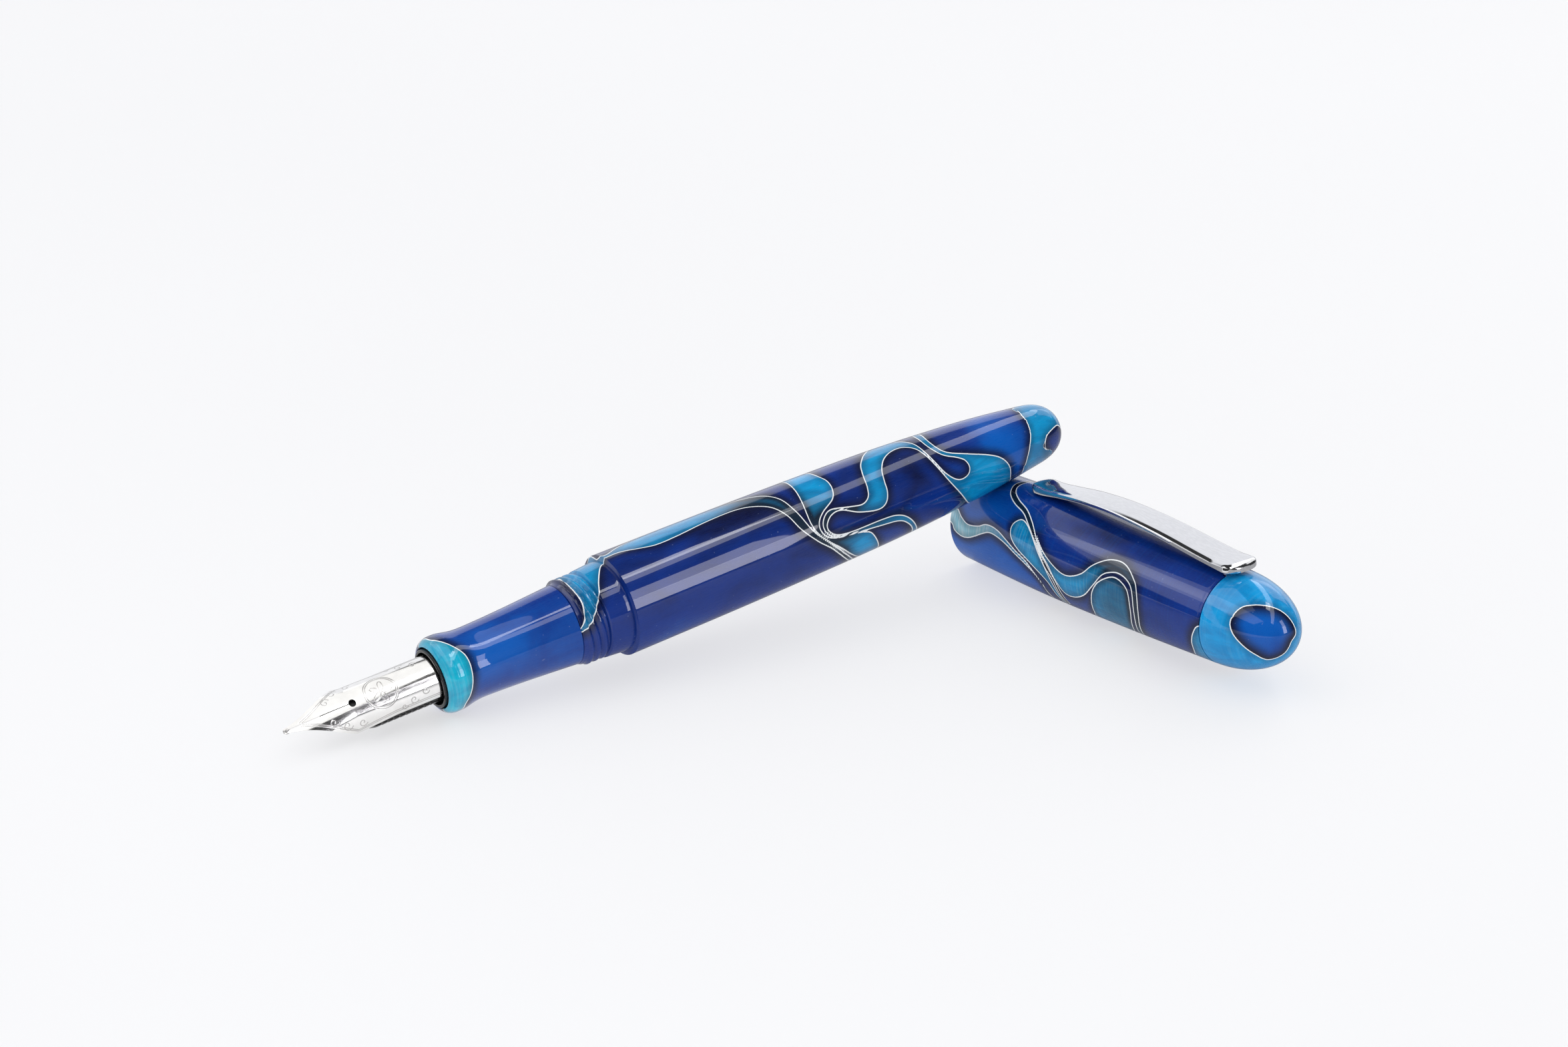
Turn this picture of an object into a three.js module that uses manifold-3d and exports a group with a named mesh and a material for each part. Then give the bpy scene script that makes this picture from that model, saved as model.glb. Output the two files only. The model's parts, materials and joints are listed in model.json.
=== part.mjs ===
// Screw-cap fountain pen with a converter, in the pose of an uncapped pen lying across its cap.
// Millimetres. Every turned piece is first made along its own +X axis, then placed by its group.
// In the pen, x runs from the section's lip (x = 0) to the barrel's end, and the nib is at x < 0.
// In the cap, x runs from the mouth (x = 0) to the finial's tip.

import * as THREE from 'three';
import { mergeVertices } from 'three/addons/utils/BufferGeometryUtils.js';
import Module from 'manifold-3d';

const wasm = await Module();
wasm.setup();

// Pose of the two halves
const PEN_TILT = THREE.MathUtils.degToRad(8.7);
const CAP_YAW = THREE.MathUtils.degToRad(-89);
const CAP_MOUTH = { x: 96, y: 4.8 };
const NIB_ROLL = THREE.MathUtils.degToRad(45);
const CLIP_ROLL = THREE.MathUtils.degToRad(2);

// Fits
const SEAM = 0.2;
const RUNNING = 0.1;

// Section
const LIP = { x: 1.6, radius: 5.4, edgeRadius: 4.3, flat: 0.1 };
const NECK = { x: 6, radius: 5.02 };
const GRIP = { x: 13, radius: 5.25 };
const SECTION_END = { x: 20.05, radius: 5.68 };
const COLLAR_BORE = { radius: 4.3, depth: 3.2 };
const SECTION_BORE = 3.9;
const SECTION_TENON = { radius: 4.5, end: 27.6 };

// Barrel
const THREAD = { start: 21.05, pitch: 1.1, ridges: 3, root: 5.85, crest: 6.2, flank: 0.22, halfCrest: 0.1 };
const THREAD_RUNOUT = { front: 0.3, rear: 0.15 };
const PLAIN_TENON = { start: 24.3, end: 27.3, radius: 6.3, endRadius: 6.52 };
const STEP = { faceRadius: 6.95, x: 28, radius: 7.28 };
const BARREL_WAIST = [[50, 7.15], [72, 6.73], [86, 6.0], [93.5, 5.38]];
const BARREL_NOSE = { start: 100.4, radius: 4.58, slope: -0.125, length: 5.2, fullness: 2.7 };
const SECTION_SOCKET = { radius: 4.7, end: 28.6 };
const CONVERTER_ROOM = { radius: 4.15, end: 88, coneEnd: 92.5 };

// Nib, feed and nib housing
const NIB = {
  tip: -22.3, shoulder: -13.4, root: 2, thickness: 0.3,
  radius: 3.35, tipRadius: 5.5, tipDrop: 0.42,
  tipHalf: 0.42, shoulderHalf: 4.75, rootHalf: 4.05,
};
const SLIT = { width: 0.09, end: -12.6, bottom: 1.5, top: 5 };
const BREATHER = { x: -12.6, radius: 0.52, cutDepth: 3 };
const PELLET = { radius: 0.42, length: 1.1, flatness: 0.8, setback: 0.25 };
const FEED = {
  front: -16.8, radius: 3, frontRadius: 2.55, shoulder: 0.2,
  stem: 2.5, stemEnd: 13.6, tail: 0.8, tailEnd: 20,
};
const FEED_RELIEF = { slope: THREE.MathUtils.degToRad(24), x: -6.6, z: -2.9 };
const FINS = { first: -9.2, pitch: 0.9, count: 9, groove: 0.42, floor: 2.35 };
const HOUSING = {
  front: -0.35, collar: 4.12, collarEnd: 2.9, mouth: 3.72, mouthEnd: 2.3,
  thread: 3.6, threadEnd: 15.2, bore: 2.62, boreEnd: 14, nipple: 1.75, nippleBore: 0.95, end: 20.2,
  chamfer: 0.15,
};

// Converter
const TUBE = {
  start: 16, end: 56, radius: 3.3, bore: 2.75, mouth: 1.9, mouthEnd: 20.6,
  chamfer: 0.3, ledge: 0.4, ledgeLength: 0.6,
};
const SLEEVE = { start: 54, end: 66, radius: 3.75, bore: 3.42, rim: 0.15, rimLength: 0.2 };
const BUSHING = { start: 62.2, end: 65.8, radius: 3.3, bore: 2.05 };
const KNOB = {
  start: 66.3, end: 84, radius: 3.7, neck: 3.2, neckLength: 1.2, shoulder: 0.3,
  bore: 1.2, boreEnd: 72, chamfer: 0.6,
};
const SPINDLE = { start: 45.6, end: 71.6, radius: 1 };
const PISTON = { start: 21.6, end: 26.2, radius: 2.35, groove: 1.75, ringWidth: 0.8, land: 0.7 };
const ROD = { start: 26.4, end: 47, radius: 1.9, bore: 1.15, boreStart: 27 };

// Cap, finial and clip
const CAP_PROFILE = [[0.2, 7.1], [18, 7.5], [36, 7.27], [54.2, 6.75]];
const CAP_RIM = 6.95;
const CAP_LENGTH = 54.2;
const CAP_BORE = {
  mouth: 6.66, threadStart: 3, minor: 6.05, major: 6.4, threadEnd: 8, radius: 5.85, end: 51.5,
  grooveLead: 0.6, grooveFlank: 0.35, grooveFloor: 0.2,
};
const RING = { pocket: 5.8, depth: 0.8, lift: 0.15, thickness: 0.5, outer: 5.6, bore: 3.3 };
const FINIAL = {
  radius: 6.7, length: 10.6, slope: -0.03, fullness: 2.1,
  tenon: 2.95, tenonGap: 0.3, hole: 3.2,
};
const CLIP = {
  tip: 12.3, end: 56.2, thickness: 0.75, crown: 0.2, tipHalf: 2.05, endHalf: 3.05,
  underside: [
    [12.3, 7.62], [15.5, 7.72], [19.5, 8.35], [25, 8.95], [32, 9.15], [40, 8.75], [49, 7.85], [56.2, 7.25],
  ],
};
const TAB = { x: 53.8, thickness: 0.6, half: 1.8, bottom: 5.9, overlap: 0.3 };
const TAB_SLOT = { half: 2.1, depth: 0.6, top: 8, clearance: 0.1 };

// Facets round a large and a small piece, and along the lip
const AROUND = 36;
const AROUND_SMALL = 24;
const LIP_STEPS = 5;

// Materials: one per substance
const acrylic = (color) => new THREE.MeshStandardMaterial({ color, roughness: 0.15, metalness: 0 });
const MATERIALS = {
  blueAcrylic: acrylic(0x1c4f9e),
  cyanAcrylic: acrylic(0x18b4dc),
  steel: new THREE.MeshStandardMaterial({ color: 0xd8d6d2, roughness: 0.16, metalness: 1 }),
  chrome: new THREE.MeshStandardMaterial({ color: 0xdcdde0, roughness: 0.08, metalness: 1 }),
  pellet: new THREE.MeshStandardMaterial({ color: 0xb9b7b3, roughness: 0.3, metalness: 1 }),
  blackPlastic: new THREE.MeshStandardMaterial({ color: 0x141415, roughness: 0.45, metalness: 0 }),
  clearPlastic: new THREE.MeshStandardMaterial({
    color: 0xdde6ea, roughness: 0.08, metalness: 0, transparent: true, opacity: 0.4,
  }),
  rubber: new THREE.MeshStandardMaterial({ color: 0x222224, roughness: 0.75, metalness: 0 }),
};

const isClosedLoop = (profile) => profile[0][1] > 0;

// Turned solid about +X from [x, radius] points. They run clockwise when x is drawn to the right and the
// radius up: the outer wall with x, and a bore back again. A profile clear of the axis is closed on itself.
function turned(profile, segments = AROUND) {
  const points = profile.map(([x, radius]) => new THREE.Vector2(radius, x));
  if (isClosedLoop(profile)) points.push(points[0].clone());
  return new THREE.LatheGeometry(points, segments).rotateZ(-Math.PI / 2);
}

function solidOf(geometry) {
  const bare = geometry.clone();
  bare.deleteAttribute('normal');
  bare.deleteAttribute('uv');
  const merged = mergeVertices(bare, 1e-4);
  const kept = [];
  const index = merged.index.array;
  for (let i = 0; i < index.length; i += 3) {
    const [a, b, c] = [index[i], index[i + 1], index[i + 2]];
    if (a !== b && b !== c && c !== a) kept.push(a, b, c);
  }
  return new wasm.Manifold(new wasm.Mesh({
    numProp: 3,
    vertProperties: merged.attributes.position.array,
    triVerts: new Uint32Array(kept),
  }));
}

function geometryOf(solid) {
  const mesh = solid.getMesh();
  const geometry = new THREE.BufferGeometry();
  geometry.setAttribute('position', new THREE.BufferAttribute(mesh.vertProperties, 3));
  geometry.setIndex(new THREE.BufferAttribute(mesh.triVerts, 1));
  geometry.computeVertexNormals();
  return geometry;
}

const block = (x0, x1, y0, y1, z0, z1) =>
  new THREE.BoxGeometry(x1 - x0, y1 - y0, z1 - z0).translate((x0 + x1) / 2, (y0 + y1) / 2, (z0 + z1) / 2);

function piece(name, geometry, material) {
  const mesh = new THREE.Mesh(geometry, material);
  mesh.name = name;
  return mesh;
}

// Points of a smooth curve through [x, radius] control points
function smooth(controls, steps) {
  const curve = new THREE.SplineCurve(controls.map(([x, y]) => new THREE.Vector2(x, y)));
  return curve.getPoints(steps).map((p) => [p.x, p.y]);
}

// A domed end: a superellipse quarter whose base keeps the slope of the wall that it closes
function dome({ start, radius, slope, length, fullness }, steps) {
  const points = [];
  for (let i = 1; i < steps; i += 1) {
    const u = Math.sin((i / steps) * Math.PI / 2);
    points.push([start + length * u, (radius + slope * length * u) * (1 - u ** fullness) ** (1 / fullness)]);
  }
  points.push([start + length, 0]);
  return points;
}

// Height of a curve given by [x, y] control points
function heightAt(controls, x) {
  const curve = new THREE.SplineCurve(controls.map(([cx, cy]) => new THREE.Vector2(cx, cy)));
  let low = 0;
  let high = 1;
  for (let i = 0; i < 30; i += 1) {
    const middle = (low + high) / 2;
    if (curve.getPoint(middle).x < x) low = middle;
    else high = middle;
  }
  return curve.getPoint(low).y;
}

// ---- Section and barrel -------------------------------------------------------------------------

function section() {
  const face = LIP.edgeRadius + LIP.flat;
  const lip = [];
  for (let i = 1; i <= LIP_STEPS; i += 1) {
    const angle = (i / LIP_STEPS) * Math.PI / 2;
    lip.push([LIP.x * (1 - Math.cos(angle)), face + (LIP.radius - face) * Math.sin(angle)]);
  }
  const waist = smooth([LIP, NECK, GRIP, SECTION_END].map(({ x, radius }) => [x, radius]), 12);
  return turned([
    [COLLAR_BORE.depth, SECTION_BORE],
    [COLLAR_BORE.depth, COLLAR_BORE.radius],
    [0, COLLAR_BORE.radius],
    [0, face],
    ...lip,
    ...waist.slice(1),
    [SECTION_END.x, SECTION_TENON.radius],
    [SECTION_TENON.end, SECTION_TENON.radius],
    [SECTION_TENON.end, SECTION_BORE],
  ]);
}

function capThreadRidges() {
  const ridges = [];
  for (let i = 0; i < THREAD.ridges; i += 1) {
    const centre = THREAD.start + THREAD.flank + i * THREAD.pitch;
    ridges.push([centre - THREAD.flank - THREAD.halfCrest, THREAD.root]);
    ridges.push([centre - THREAD.halfCrest, THREAD.crest]);
    ridges.push([centre + THREAD.halfCrest, THREAD.crest]);
    ridges.push([centre + THREAD.flank + THREAD.halfCrest, THREAD.root]);
  }
  return ridges;
}

function barrel() {
  const front = SECTION_END.x + SEAM;
  const body = smooth([[STEP.x, STEP.radius], ...BARREL_WAIST, [BARREL_NOSE.start, BARREL_NOSE.radius]], 12);
  return turned([
    [CONVERTER_ROOM.coneEnd, 0],
    [CONVERTER_ROOM.end, CONVERTER_ROOM.radius],
    [SECTION_SOCKET.end, CONVERTER_ROOM.radius],
    [SECTION_SOCKET.end, SECTION_SOCKET.radius],
    [front, SECTION_SOCKET.radius],
    [front, SECTION_END.radius],
    [THREAD.start - THREAD_RUNOUT.front, THREAD.root],
    ...capThreadRidges(),
    [PLAIN_TENON.start - THREAD_RUNOUT.rear, THREAD.root],
    [PLAIN_TENON.start, PLAIN_TENON.radius],
    [PLAIN_TENON.end, PLAIN_TENON.endRadius],
    [PLAIN_TENON.end, STEP.faceRadius],
    [STEP.x, STEP.radius],
    ...body.slice(1),
    ...dome(BARREL_NOSE, 7),
  ]);
}

// ---- Nib unit -----------------------------------------------------------------------------------

// Arc length from the crest to the wing's edge, at x
function nibHalfWidth(x) {
  if (x > NIB.shoulder) {
    const back = (x - NIB.shoulder) / (NIB.root - NIB.shoulder);
    return THREE.MathUtils.lerp(NIB.shoulderHalf, NIB.rootHalf, Math.min(1, back * 2.6) ** 0.8);
  }
  const along = (x - NIB.tip) / (NIB.shoulder - NIB.tip);
  return THREE.MathUtils.lerp(NIB.tipHalf, NIB.shoulderHalf, along ** 1.12);
}

// Point of the nib's sheet: at x, at an arc length from the crest, at a height in its thickness
function nibPoint(x, arc, height, target) {
  const forward = THREE.MathUtils.clamp((NIB.shoulder - x) / (NIB.shoulder - NIB.tip), 0, 1);
  const radius = THREE.MathUtils.lerp(NIB.radius, NIB.tipRadius, forward);
  const crest = NIB.radius - NIB.tipDrop * forward ** 2;
  const angle = arc / radius;
  target.set(
    x,
    (radius + height) * Math.sin(angle),
    crest - radius + (radius + height) * Math.cos(angle),
  );
}

function nib() {
  const geometry = new THREE.BoxGeometry(1, 1, 1, 30, 12, 1);
  const position = geometry.attributes.position;
  const point = new THREE.Vector3();
  for (let i = 0; i < position.count; i += 1) {
    const x = THREE.MathUtils.lerp(NIB.tip, NIB.root, position.getX(i) + 0.5);
    nibPoint(x, 2 * position.getY(i) * nibHalfWidth(x), position.getZ(i) * NIB.thickness, point);
    position.setXYZ(i, point.x, point.y, point.z);
  }
  const hole = new THREE.CylinderGeometry(BREATHER.radius, BREATHER.radius, BREATHER.cutDepth, 20)
    .rotateX(Math.PI / 2).translate(BREATHER.x, 0, NIB.radius);
  const slit = block(NIB.tip - 1, SLIT.end, -SLIT.width / 2, SLIT.width / 2, SLIT.bottom, SLIT.top);
  return geometryOf(solidOf(geometry).subtract(solidOf(hole).add(solidOf(slit))));
}

// One half of the hard writing pellet under a tine's end
function pelletHalf(side) {
  const height = NIB.radius - NIB.tipDrop - NIB.thickness / 2 - PELLET.radius;
  const ball = new THREE.SphereGeometry(PELLET.radius, 14, 10)
    .scale(PELLET.length / (2 * PELLET.radius), 1, PELLET.flatness)
    .translate(NIB.tip + PELLET.setback, 0, height);
  const inner = side * SLIT.width / 2;
  const outer = side * 2 * PELLET.radius;
  const reach = [NIB.tip - PELLET.length, NIB.tip + 2 * PELLET.length];
  const half = block(...reach, Math.min(inner, outer), Math.max(inner, outer), 0, SLIT.top);
  return geometryOf(solidOf(ball).intersect(solidOf(half)));
}

function feed() {
  const profile = [[FEED.front, 0], [FEED.front, FEED.frontRadius]];
  for (let i = 0; i < FINS.count; i += 1) {
    const x = FINS.first + i * FINS.pitch;
    profile.push([x, FEED.radius], [x, FINS.floor]);
    profile.push([x + FINS.groove, FINS.floor], [x + FINS.groove, FEED.radius]);
  }
  profile.push([FEED.shoulder, FEED.radius], [FEED.shoulder, FEED.stem], [FEED.stemEnd, FEED.stem]);
  profile.push([FEED.stemEnd, FEED.tail], [FEED.tailEnd, FEED.tail], [FEED.tailEnd, 0]);
  // The underside rises towards the nib's tip, so only a tongue is left below the tines
  const relief = block(-26, 0, -6, 6, -9, 0)
    .rotateY(FEED_RELIEF.slope)
    .translate(FEED_RELIEF.x, 0, FEED_RELIEF.z);
  return geometryOf(solidOf(turned(profile, AROUND_SMALL)).subtract(solidOf(relief)));
}

function nibHousing() {
  return turned([
    [HOUSING.mouthEnd, HOUSING.bore],
    [HOUSING.mouthEnd, HOUSING.mouth],
    [HOUSING.front, HOUSING.mouth],
    [HOUSING.front, HOUSING.collar - HOUSING.chamfer],
    [HOUSING.front + HOUSING.chamfer, HOUSING.collar],
    [HOUSING.collarEnd, HOUSING.collar],
    [HOUSING.collarEnd, HOUSING.thread],
    [HOUSING.threadEnd, HOUSING.thread],
    [HOUSING.threadEnd, HOUSING.nipple],
    [HOUSING.end, HOUSING.nipple],
    [HOUSING.end, HOUSING.nippleBore],
    [HOUSING.boreEnd, HOUSING.nippleBore],
    [HOUSING.boreEnd, HOUSING.bore],
  ], AROUND_SMALL);
}

// ---- Converter ----------------------------------------------------------------------------------

function converterTube() {
  return turned([
    [TUBE.mouthEnd, TUBE.mouth],
    [TUBE.start, TUBE.mouth],
    [TUBE.start, TUBE.radius - TUBE.chamfer],
    [TUBE.start + TUBE.chamfer, TUBE.radius],
    [TUBE.end, TUBE.radius],
    [TUBE.end, TUBE.bore],
    [TUBE.mouthEnd + TUBE.ledgeLength, TUBE.bore],
    [TUBE.mouthEnd + TUBE.ledgeLength, TUBE.mouth - TUBE.ledge],
    [TUBE.mouthEnd, TUBE.mouth - TUBE.ledge],
  ], AROUND_SMALL);
}

function converterSleeve() {
  return turned([
    [SLEEVE.start, SLEEVE.bore],
    [SLEEVE.start, SLEEVE.radius - SLEEVE.rim],
    [SLEEVE.start + SLEEVE.rimLength, SLEEVE.radius],
    [SLEEVE.end, SLEEVE.radius],
    [SLEEVE.end, SLEEVE.bore],
  ], AROUND_SMALL);
}

// Guides the piston rod and keeps the spindle in line
function converterBushing() {
  const { start, end, radius, bore } = BUSHING;
  return turned([[start, bore], [start, radius], [end, radius], [end, bore]], AROUND_SMALL);
}

function converterKnob() {
  return turned([
    [KNOB.boreEnd, 0],
    [KNOB.boreEnd, KNOB.bore],
    [KNOB.start, KNOB.bore],
    [KNOB.start, KNOB.neck],
    [KNOB.start + KNOB.neckLength, KNOB.neck],
    [KNOB.start + KNOB.neckLength + KNOB.shoulder, KNOB.radius],
    [KNOB.end - KNOB.chamfer, KNOB.radius],
    [KNOB.end, KNOB.radius - KNOB.chamfer],
    [KNOB.end, 0],
  ], AROUND_SMALL);
}

const rod = (start, end, radius) =>
  turned([[start, 0], [start, radius], [end, radius], [end, 0]], AROUND_SMALL);

function pistonRod() {
  return turned([
    [ROD.start, 0],
    [ROD.start, ROD.radius],
    [ROD.end, ROD.radius],
    [ROD.end, ROD.bore],
    [ROD.boreStart, ROD.bore],
    [ROD.boreStart, 0],
  ], AROUND_SMALL);
}

// Left edges of the piston's two ring grooves
const ringGrooves = [PISTON.start + PISTON.land, PISTON.end - PISTON.land - PISTON.ringWidth];

function pistonHead() {
  const profile = [[PISTON.start, 0], [PISTON.start, PISTON.radius]];
  for (const x of ringGrooves) {
    profile.push([x, PISTON.radius], [x, PISTON.groove]);
    profile.push([x + PISTON.ringWidth, PISTON.groove], [x + PISTON.ringWidth, PISTON.radius]);
  }
  profile.push([PISTON.end, PISTON.radius], [PISTON.end, 0]);
  return turned(profile, AROUND_SMALL);
}

function pistonRing(grooveX) {
  const left = grooveX + RUNNING;
  const right = grooveX + PISTON.ringWidth - RUNNING;
  const inner = PISTON.groove + RUNNING;
  const outer = TUBE.bore - RUNNING;
  return turned([[left, inner], [left, outer], [right, outer], [right, inner]], AROUND_SMALL);
}

// ---- Cap ----------------------------------------------------------------------------------------

const capOutline = smooth(CAP_PROFILE, 9);

function capThreadGrooves() {
  const grooves = [];
  const { threadStart, threadEnd, minor, major, grooveLead, grooveFlank, grooveFloor } = CAP_BORE;
  for (let x = threadEnd - grooveLead; x > threadStart + THREAD.pitch; x -= THREAD.pitch) {
    const floorEnd = x - grooveFlank - grooveFloor;
    grooves.push([x, minor], [x - grooveFlank, major], [floorEnd, major], [floorEnd - grooveFlank, minor]);
  }
  return grooves;
}

function capBody() {
  const pocketFloor = CAP_LENGTH - RING.depth;
  const shell = turned([
    [CAP_LENGTH, RING.pocket],
    [pocketFloor, RING.pocket],
    [pocketFloor, FINIAL.hole],
    [CAP_BORE.end, FINIAL.hole],
    [CAP_BORE.end, CAP_BORE.radius],
    [CAP_BORE.threadEnd, CAP_BORE.radius],
    [CAP_BORE.threadEnd, CAP_BORE.minor],
    ...capThreadGrooves(),
    [CAP_BORE.threadStart, CAP_BORE.minor],
    [CAP_BORE.threadStart, CAP_BORE.mouth],
    [0, CAP_BORE.mouth],
    [0, CAP_RIM],
    ...capOutline,
  ]);
  const slotX = [pocketFloor - TAB_SLOT.clearance, CAP_LENGTH + 1];
  const slot = block(...slotX, -TAB_SLOT.half, TAB_SLOT.half, RING.pocket - TAB_SLOT.depth, TAB_SLOT.top)
    .rotateX(CLIP_ROLL);
  return geometryOf(solidOf(shell).subtract(solidOf(slot)));
}

function capFinial() {
  const base = CAP_LENGTH + SEAM;
  const tenonEnd = CAP_BORE.end + FINIAL.tenonGap;
  return turned([
    [tenonEnd, 0],
    [tenonEnd, FINIAL.tenon],
    [base, FINIAL.tenon],
    [base, FINIAL.radius],
    ...dome({ start: base, ...FINIAL }, 10),
  ]);
}

function clipRing() {
  const front = CAP_LENGTH - RING.depth + RING.lift;
  const back = front + RING.thickness;
  const { bore, outer } = RING;
  return turned([[front, bore], [front, outer], [back, outer], [back, bore]], AROUND_SMALL);
}

// Half of the blade's width: it widens from the tip to the finial, and both ends are rounded
function clipHalfWidth(x) {
  const along = (x - CLIP.tip) / (CLIP.end - CLIP.tip);
  const straight = THREE.MathUtils.lerp(CLIP.tipHalf, CLIP.endHalf, along ** 0.7);
  const fromEnd = Math.min((x - CLIP.tip) / CLIP.tipHalf, (CLIP.end - x) / (0.6 * CLIP.endHalf), 1);
  return straight * Math.max(0.3, Math.sqrt(1 - (1 - fromEnd) ** 2));
}

function clip() {
  const blade = new THREE.BoxGeometry(1, 1, 1, 24, 4, 1);
  const position = blade.attributes.position;
  for (let i = 0; i < position.count; i += 1) {
    const along = (1 - Math.cos((position.getX(i) + 0.5) * Math.PI)) / 2;
    const x = THREE.MathUtils.lerp(CLIP.tip, CLIP.end, along);
    const across = 2 * position.getY(i);
    const crown = position.getZ(i) > 0 ? CLIP.crown * (1 - across ** 2) : 0;
    const height = (position.getZ(i) + 0.5) * CLIP.thickness + crown;
    position.setXYZ(i, x, across * clipHalfWidth(x), heightAt(CLIP.underside, x) + height);
  }
  const top = heightAt(CLIP.underside, TAB.x) + TAB.overlap;
  const tabX = [TAB.x - TAB.thickness / 2, TAB.x + TAB.thickness / 2];
  const tab = block(...tabX, -TAB.half, TAB.half, TAB.bottom, top);
  return geometryOf(solidOf(blade).add(solidOf(tab))).rotateX(CLIP_ROLL);
}

// ---- Assembly -----------------------------------------------------------------------------------

const nibUnit = new THREE.Group();
nibUnit.rotation.x = NIB_ROLL;
nibUnit.add(
  piece('nib', nib(), MATERIALS.steel),
  piece('nib_pellet_left', pelletHalf(1), MATERIALS.pellet),
  piece('nib_pellet_right', pelletHalf(-1), MATERIALS.pellet),
  piece('feed', feed(), MATERIALS.blackPlastic),
  piece('nib_housing', nibHousing(), MATERIALS.blackPlastic),
);

const converter = new THREE.Group();
converter.add(
  piece('converter_tube', converterTube(), MATERIALS.clearPlastic),
  piece('converter_sleeve', converterSleeve(), MATERIALS.chrome),
  piece('converter_bushing', converterBushing(), MATERIALS.blackPlastic),
  piece('converter_knob', converterKnob(), MATERIALS.blackPlastic),
  piece('converter_spindle', rod(SPINDLE.start, SPINDLE.end, SPINDLE.radius), MATERIALS.blackPlastic),
  piece('piston_rod', pistonRod(), MATERIALS.blackPlastic),
  piece('piston_head', pistonHead(), MATERIALS.blackPlastic),
  piece('piston_ring_front', pistonRing(ringGrooves[0]), MATERIALS.rubber),
  piece('piston_ring_rear', pistonRing(ringGrooves[1]), MATERIALS.rubber),
);

// The lip touches the table and the barrel lies across the cap
const pen = new THREE.Group();
pen.rotation.y = -PEN_TILT;
pen.position.z = LIP.radius * Math.cos(PEN_TILT) - LIP.x * Math.sin(PEN_TILT);
pen.add(
  piece('section', section(), MATERIALS.blueAcrylic),
  piece('barrel', barrel(), MATERIALS.blueAcrylic),
  nibUnit,
  converter,
);

// The cap lies on its rim and its belly, so its axis rises a little towards the finial
const [rimX, rimRadius] = capOutline[0];
const slopes = capOutline.slice(1).map(([x, radius]) => Math.atan((radius - rimRadius) / (x - rimX)));
const capTilt = Math.max(...slopes);
const cap = new THREE.Group();
cap.rotation.order = 'ZYX';
cap.rotation.set(0, -capTilt, CAP_YAW);
cap.position.set(CAP_MOUTH.x, CAP_MOUTH.y, rimRadius * Math.cos(capTilt) - rimX * Math.sin(capTilt));
cap.add(
  piece('cap_body', capBody(), MATERIALS.blueAcrylic),
  piece('cap_finial', capFinial(), MATERIALS.cyanAcrylic),
  piece('clip_ring', clipRing(), MATERIALS.chrome),
  piece('clip', clip(), MATERIALS.chrome),
);

// The origin is the bottom centre of everything
const fountainPen = new THREE.Group();
fountainPen.add(pen, cap);
const bounds = new THREE.Box3().setFromObject(fountainPen, true);
const middle = bounds.getCenter(new THREE.Vector3());
fountainPen.position.set(-middle.x, -middle.y, -bounds.min.z);

export default fountainPen;
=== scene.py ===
"""Fountain pen lying across its cap: the visual model, its materials, light and camera.

Pieces are made in millimetres in two local frames, PEN and CAP. Their x axes run along the pen, from the
section's lip to the barrel's end, and along the cap, from its mouth to the finial. An angle round either axis
is counted from the top towards local -y, which is the side that the camera sees.
"""
import json
import math

import bmesh
import bpy
import numpy as np
from mathutils import Matrix, Vector
from mathutils.kdtree import KDTree


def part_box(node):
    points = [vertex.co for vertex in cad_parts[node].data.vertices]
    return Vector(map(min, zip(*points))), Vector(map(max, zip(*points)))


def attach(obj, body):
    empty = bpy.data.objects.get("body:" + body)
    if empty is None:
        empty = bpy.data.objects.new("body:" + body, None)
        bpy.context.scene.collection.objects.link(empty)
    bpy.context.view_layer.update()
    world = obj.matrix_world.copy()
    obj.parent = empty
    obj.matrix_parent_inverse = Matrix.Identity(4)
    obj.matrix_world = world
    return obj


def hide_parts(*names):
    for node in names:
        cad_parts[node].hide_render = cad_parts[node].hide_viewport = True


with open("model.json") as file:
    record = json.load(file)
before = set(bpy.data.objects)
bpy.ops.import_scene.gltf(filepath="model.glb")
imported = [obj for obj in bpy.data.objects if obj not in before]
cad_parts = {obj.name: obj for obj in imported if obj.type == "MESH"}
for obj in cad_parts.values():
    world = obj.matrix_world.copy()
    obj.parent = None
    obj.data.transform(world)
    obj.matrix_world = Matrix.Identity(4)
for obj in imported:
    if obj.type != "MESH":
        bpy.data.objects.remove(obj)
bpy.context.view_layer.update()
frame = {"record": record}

MM = 0.001
RECORD = frame["record"]
JOINTS = {joint["name"]: joint for joint in RECORD["behaviour"]["joints"]}
MOUNTS = {mount["name"]: mount for mount in RECORD["mounts"]}

# Section (mm). Outlines here are (x, radius) points.
LIP_X, LIP_RADIUS, LIP_FACE = 1.6, 5.4, 4.4
SECTION_WAIST = [(1.6, 5.4), (2.6, 5.36), (5, 4.97), (8, 4.99), (13, 5.22), (20.05, 5.68)]
COLLAR_BORE, COLLAR_DEPTH, SECTION_BORE = 4.3, 3.2, 3.9
SHOULDER_X, SECTION_TENON, SECTION_TENON_END = 20.05, 4.5, 27.6

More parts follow.
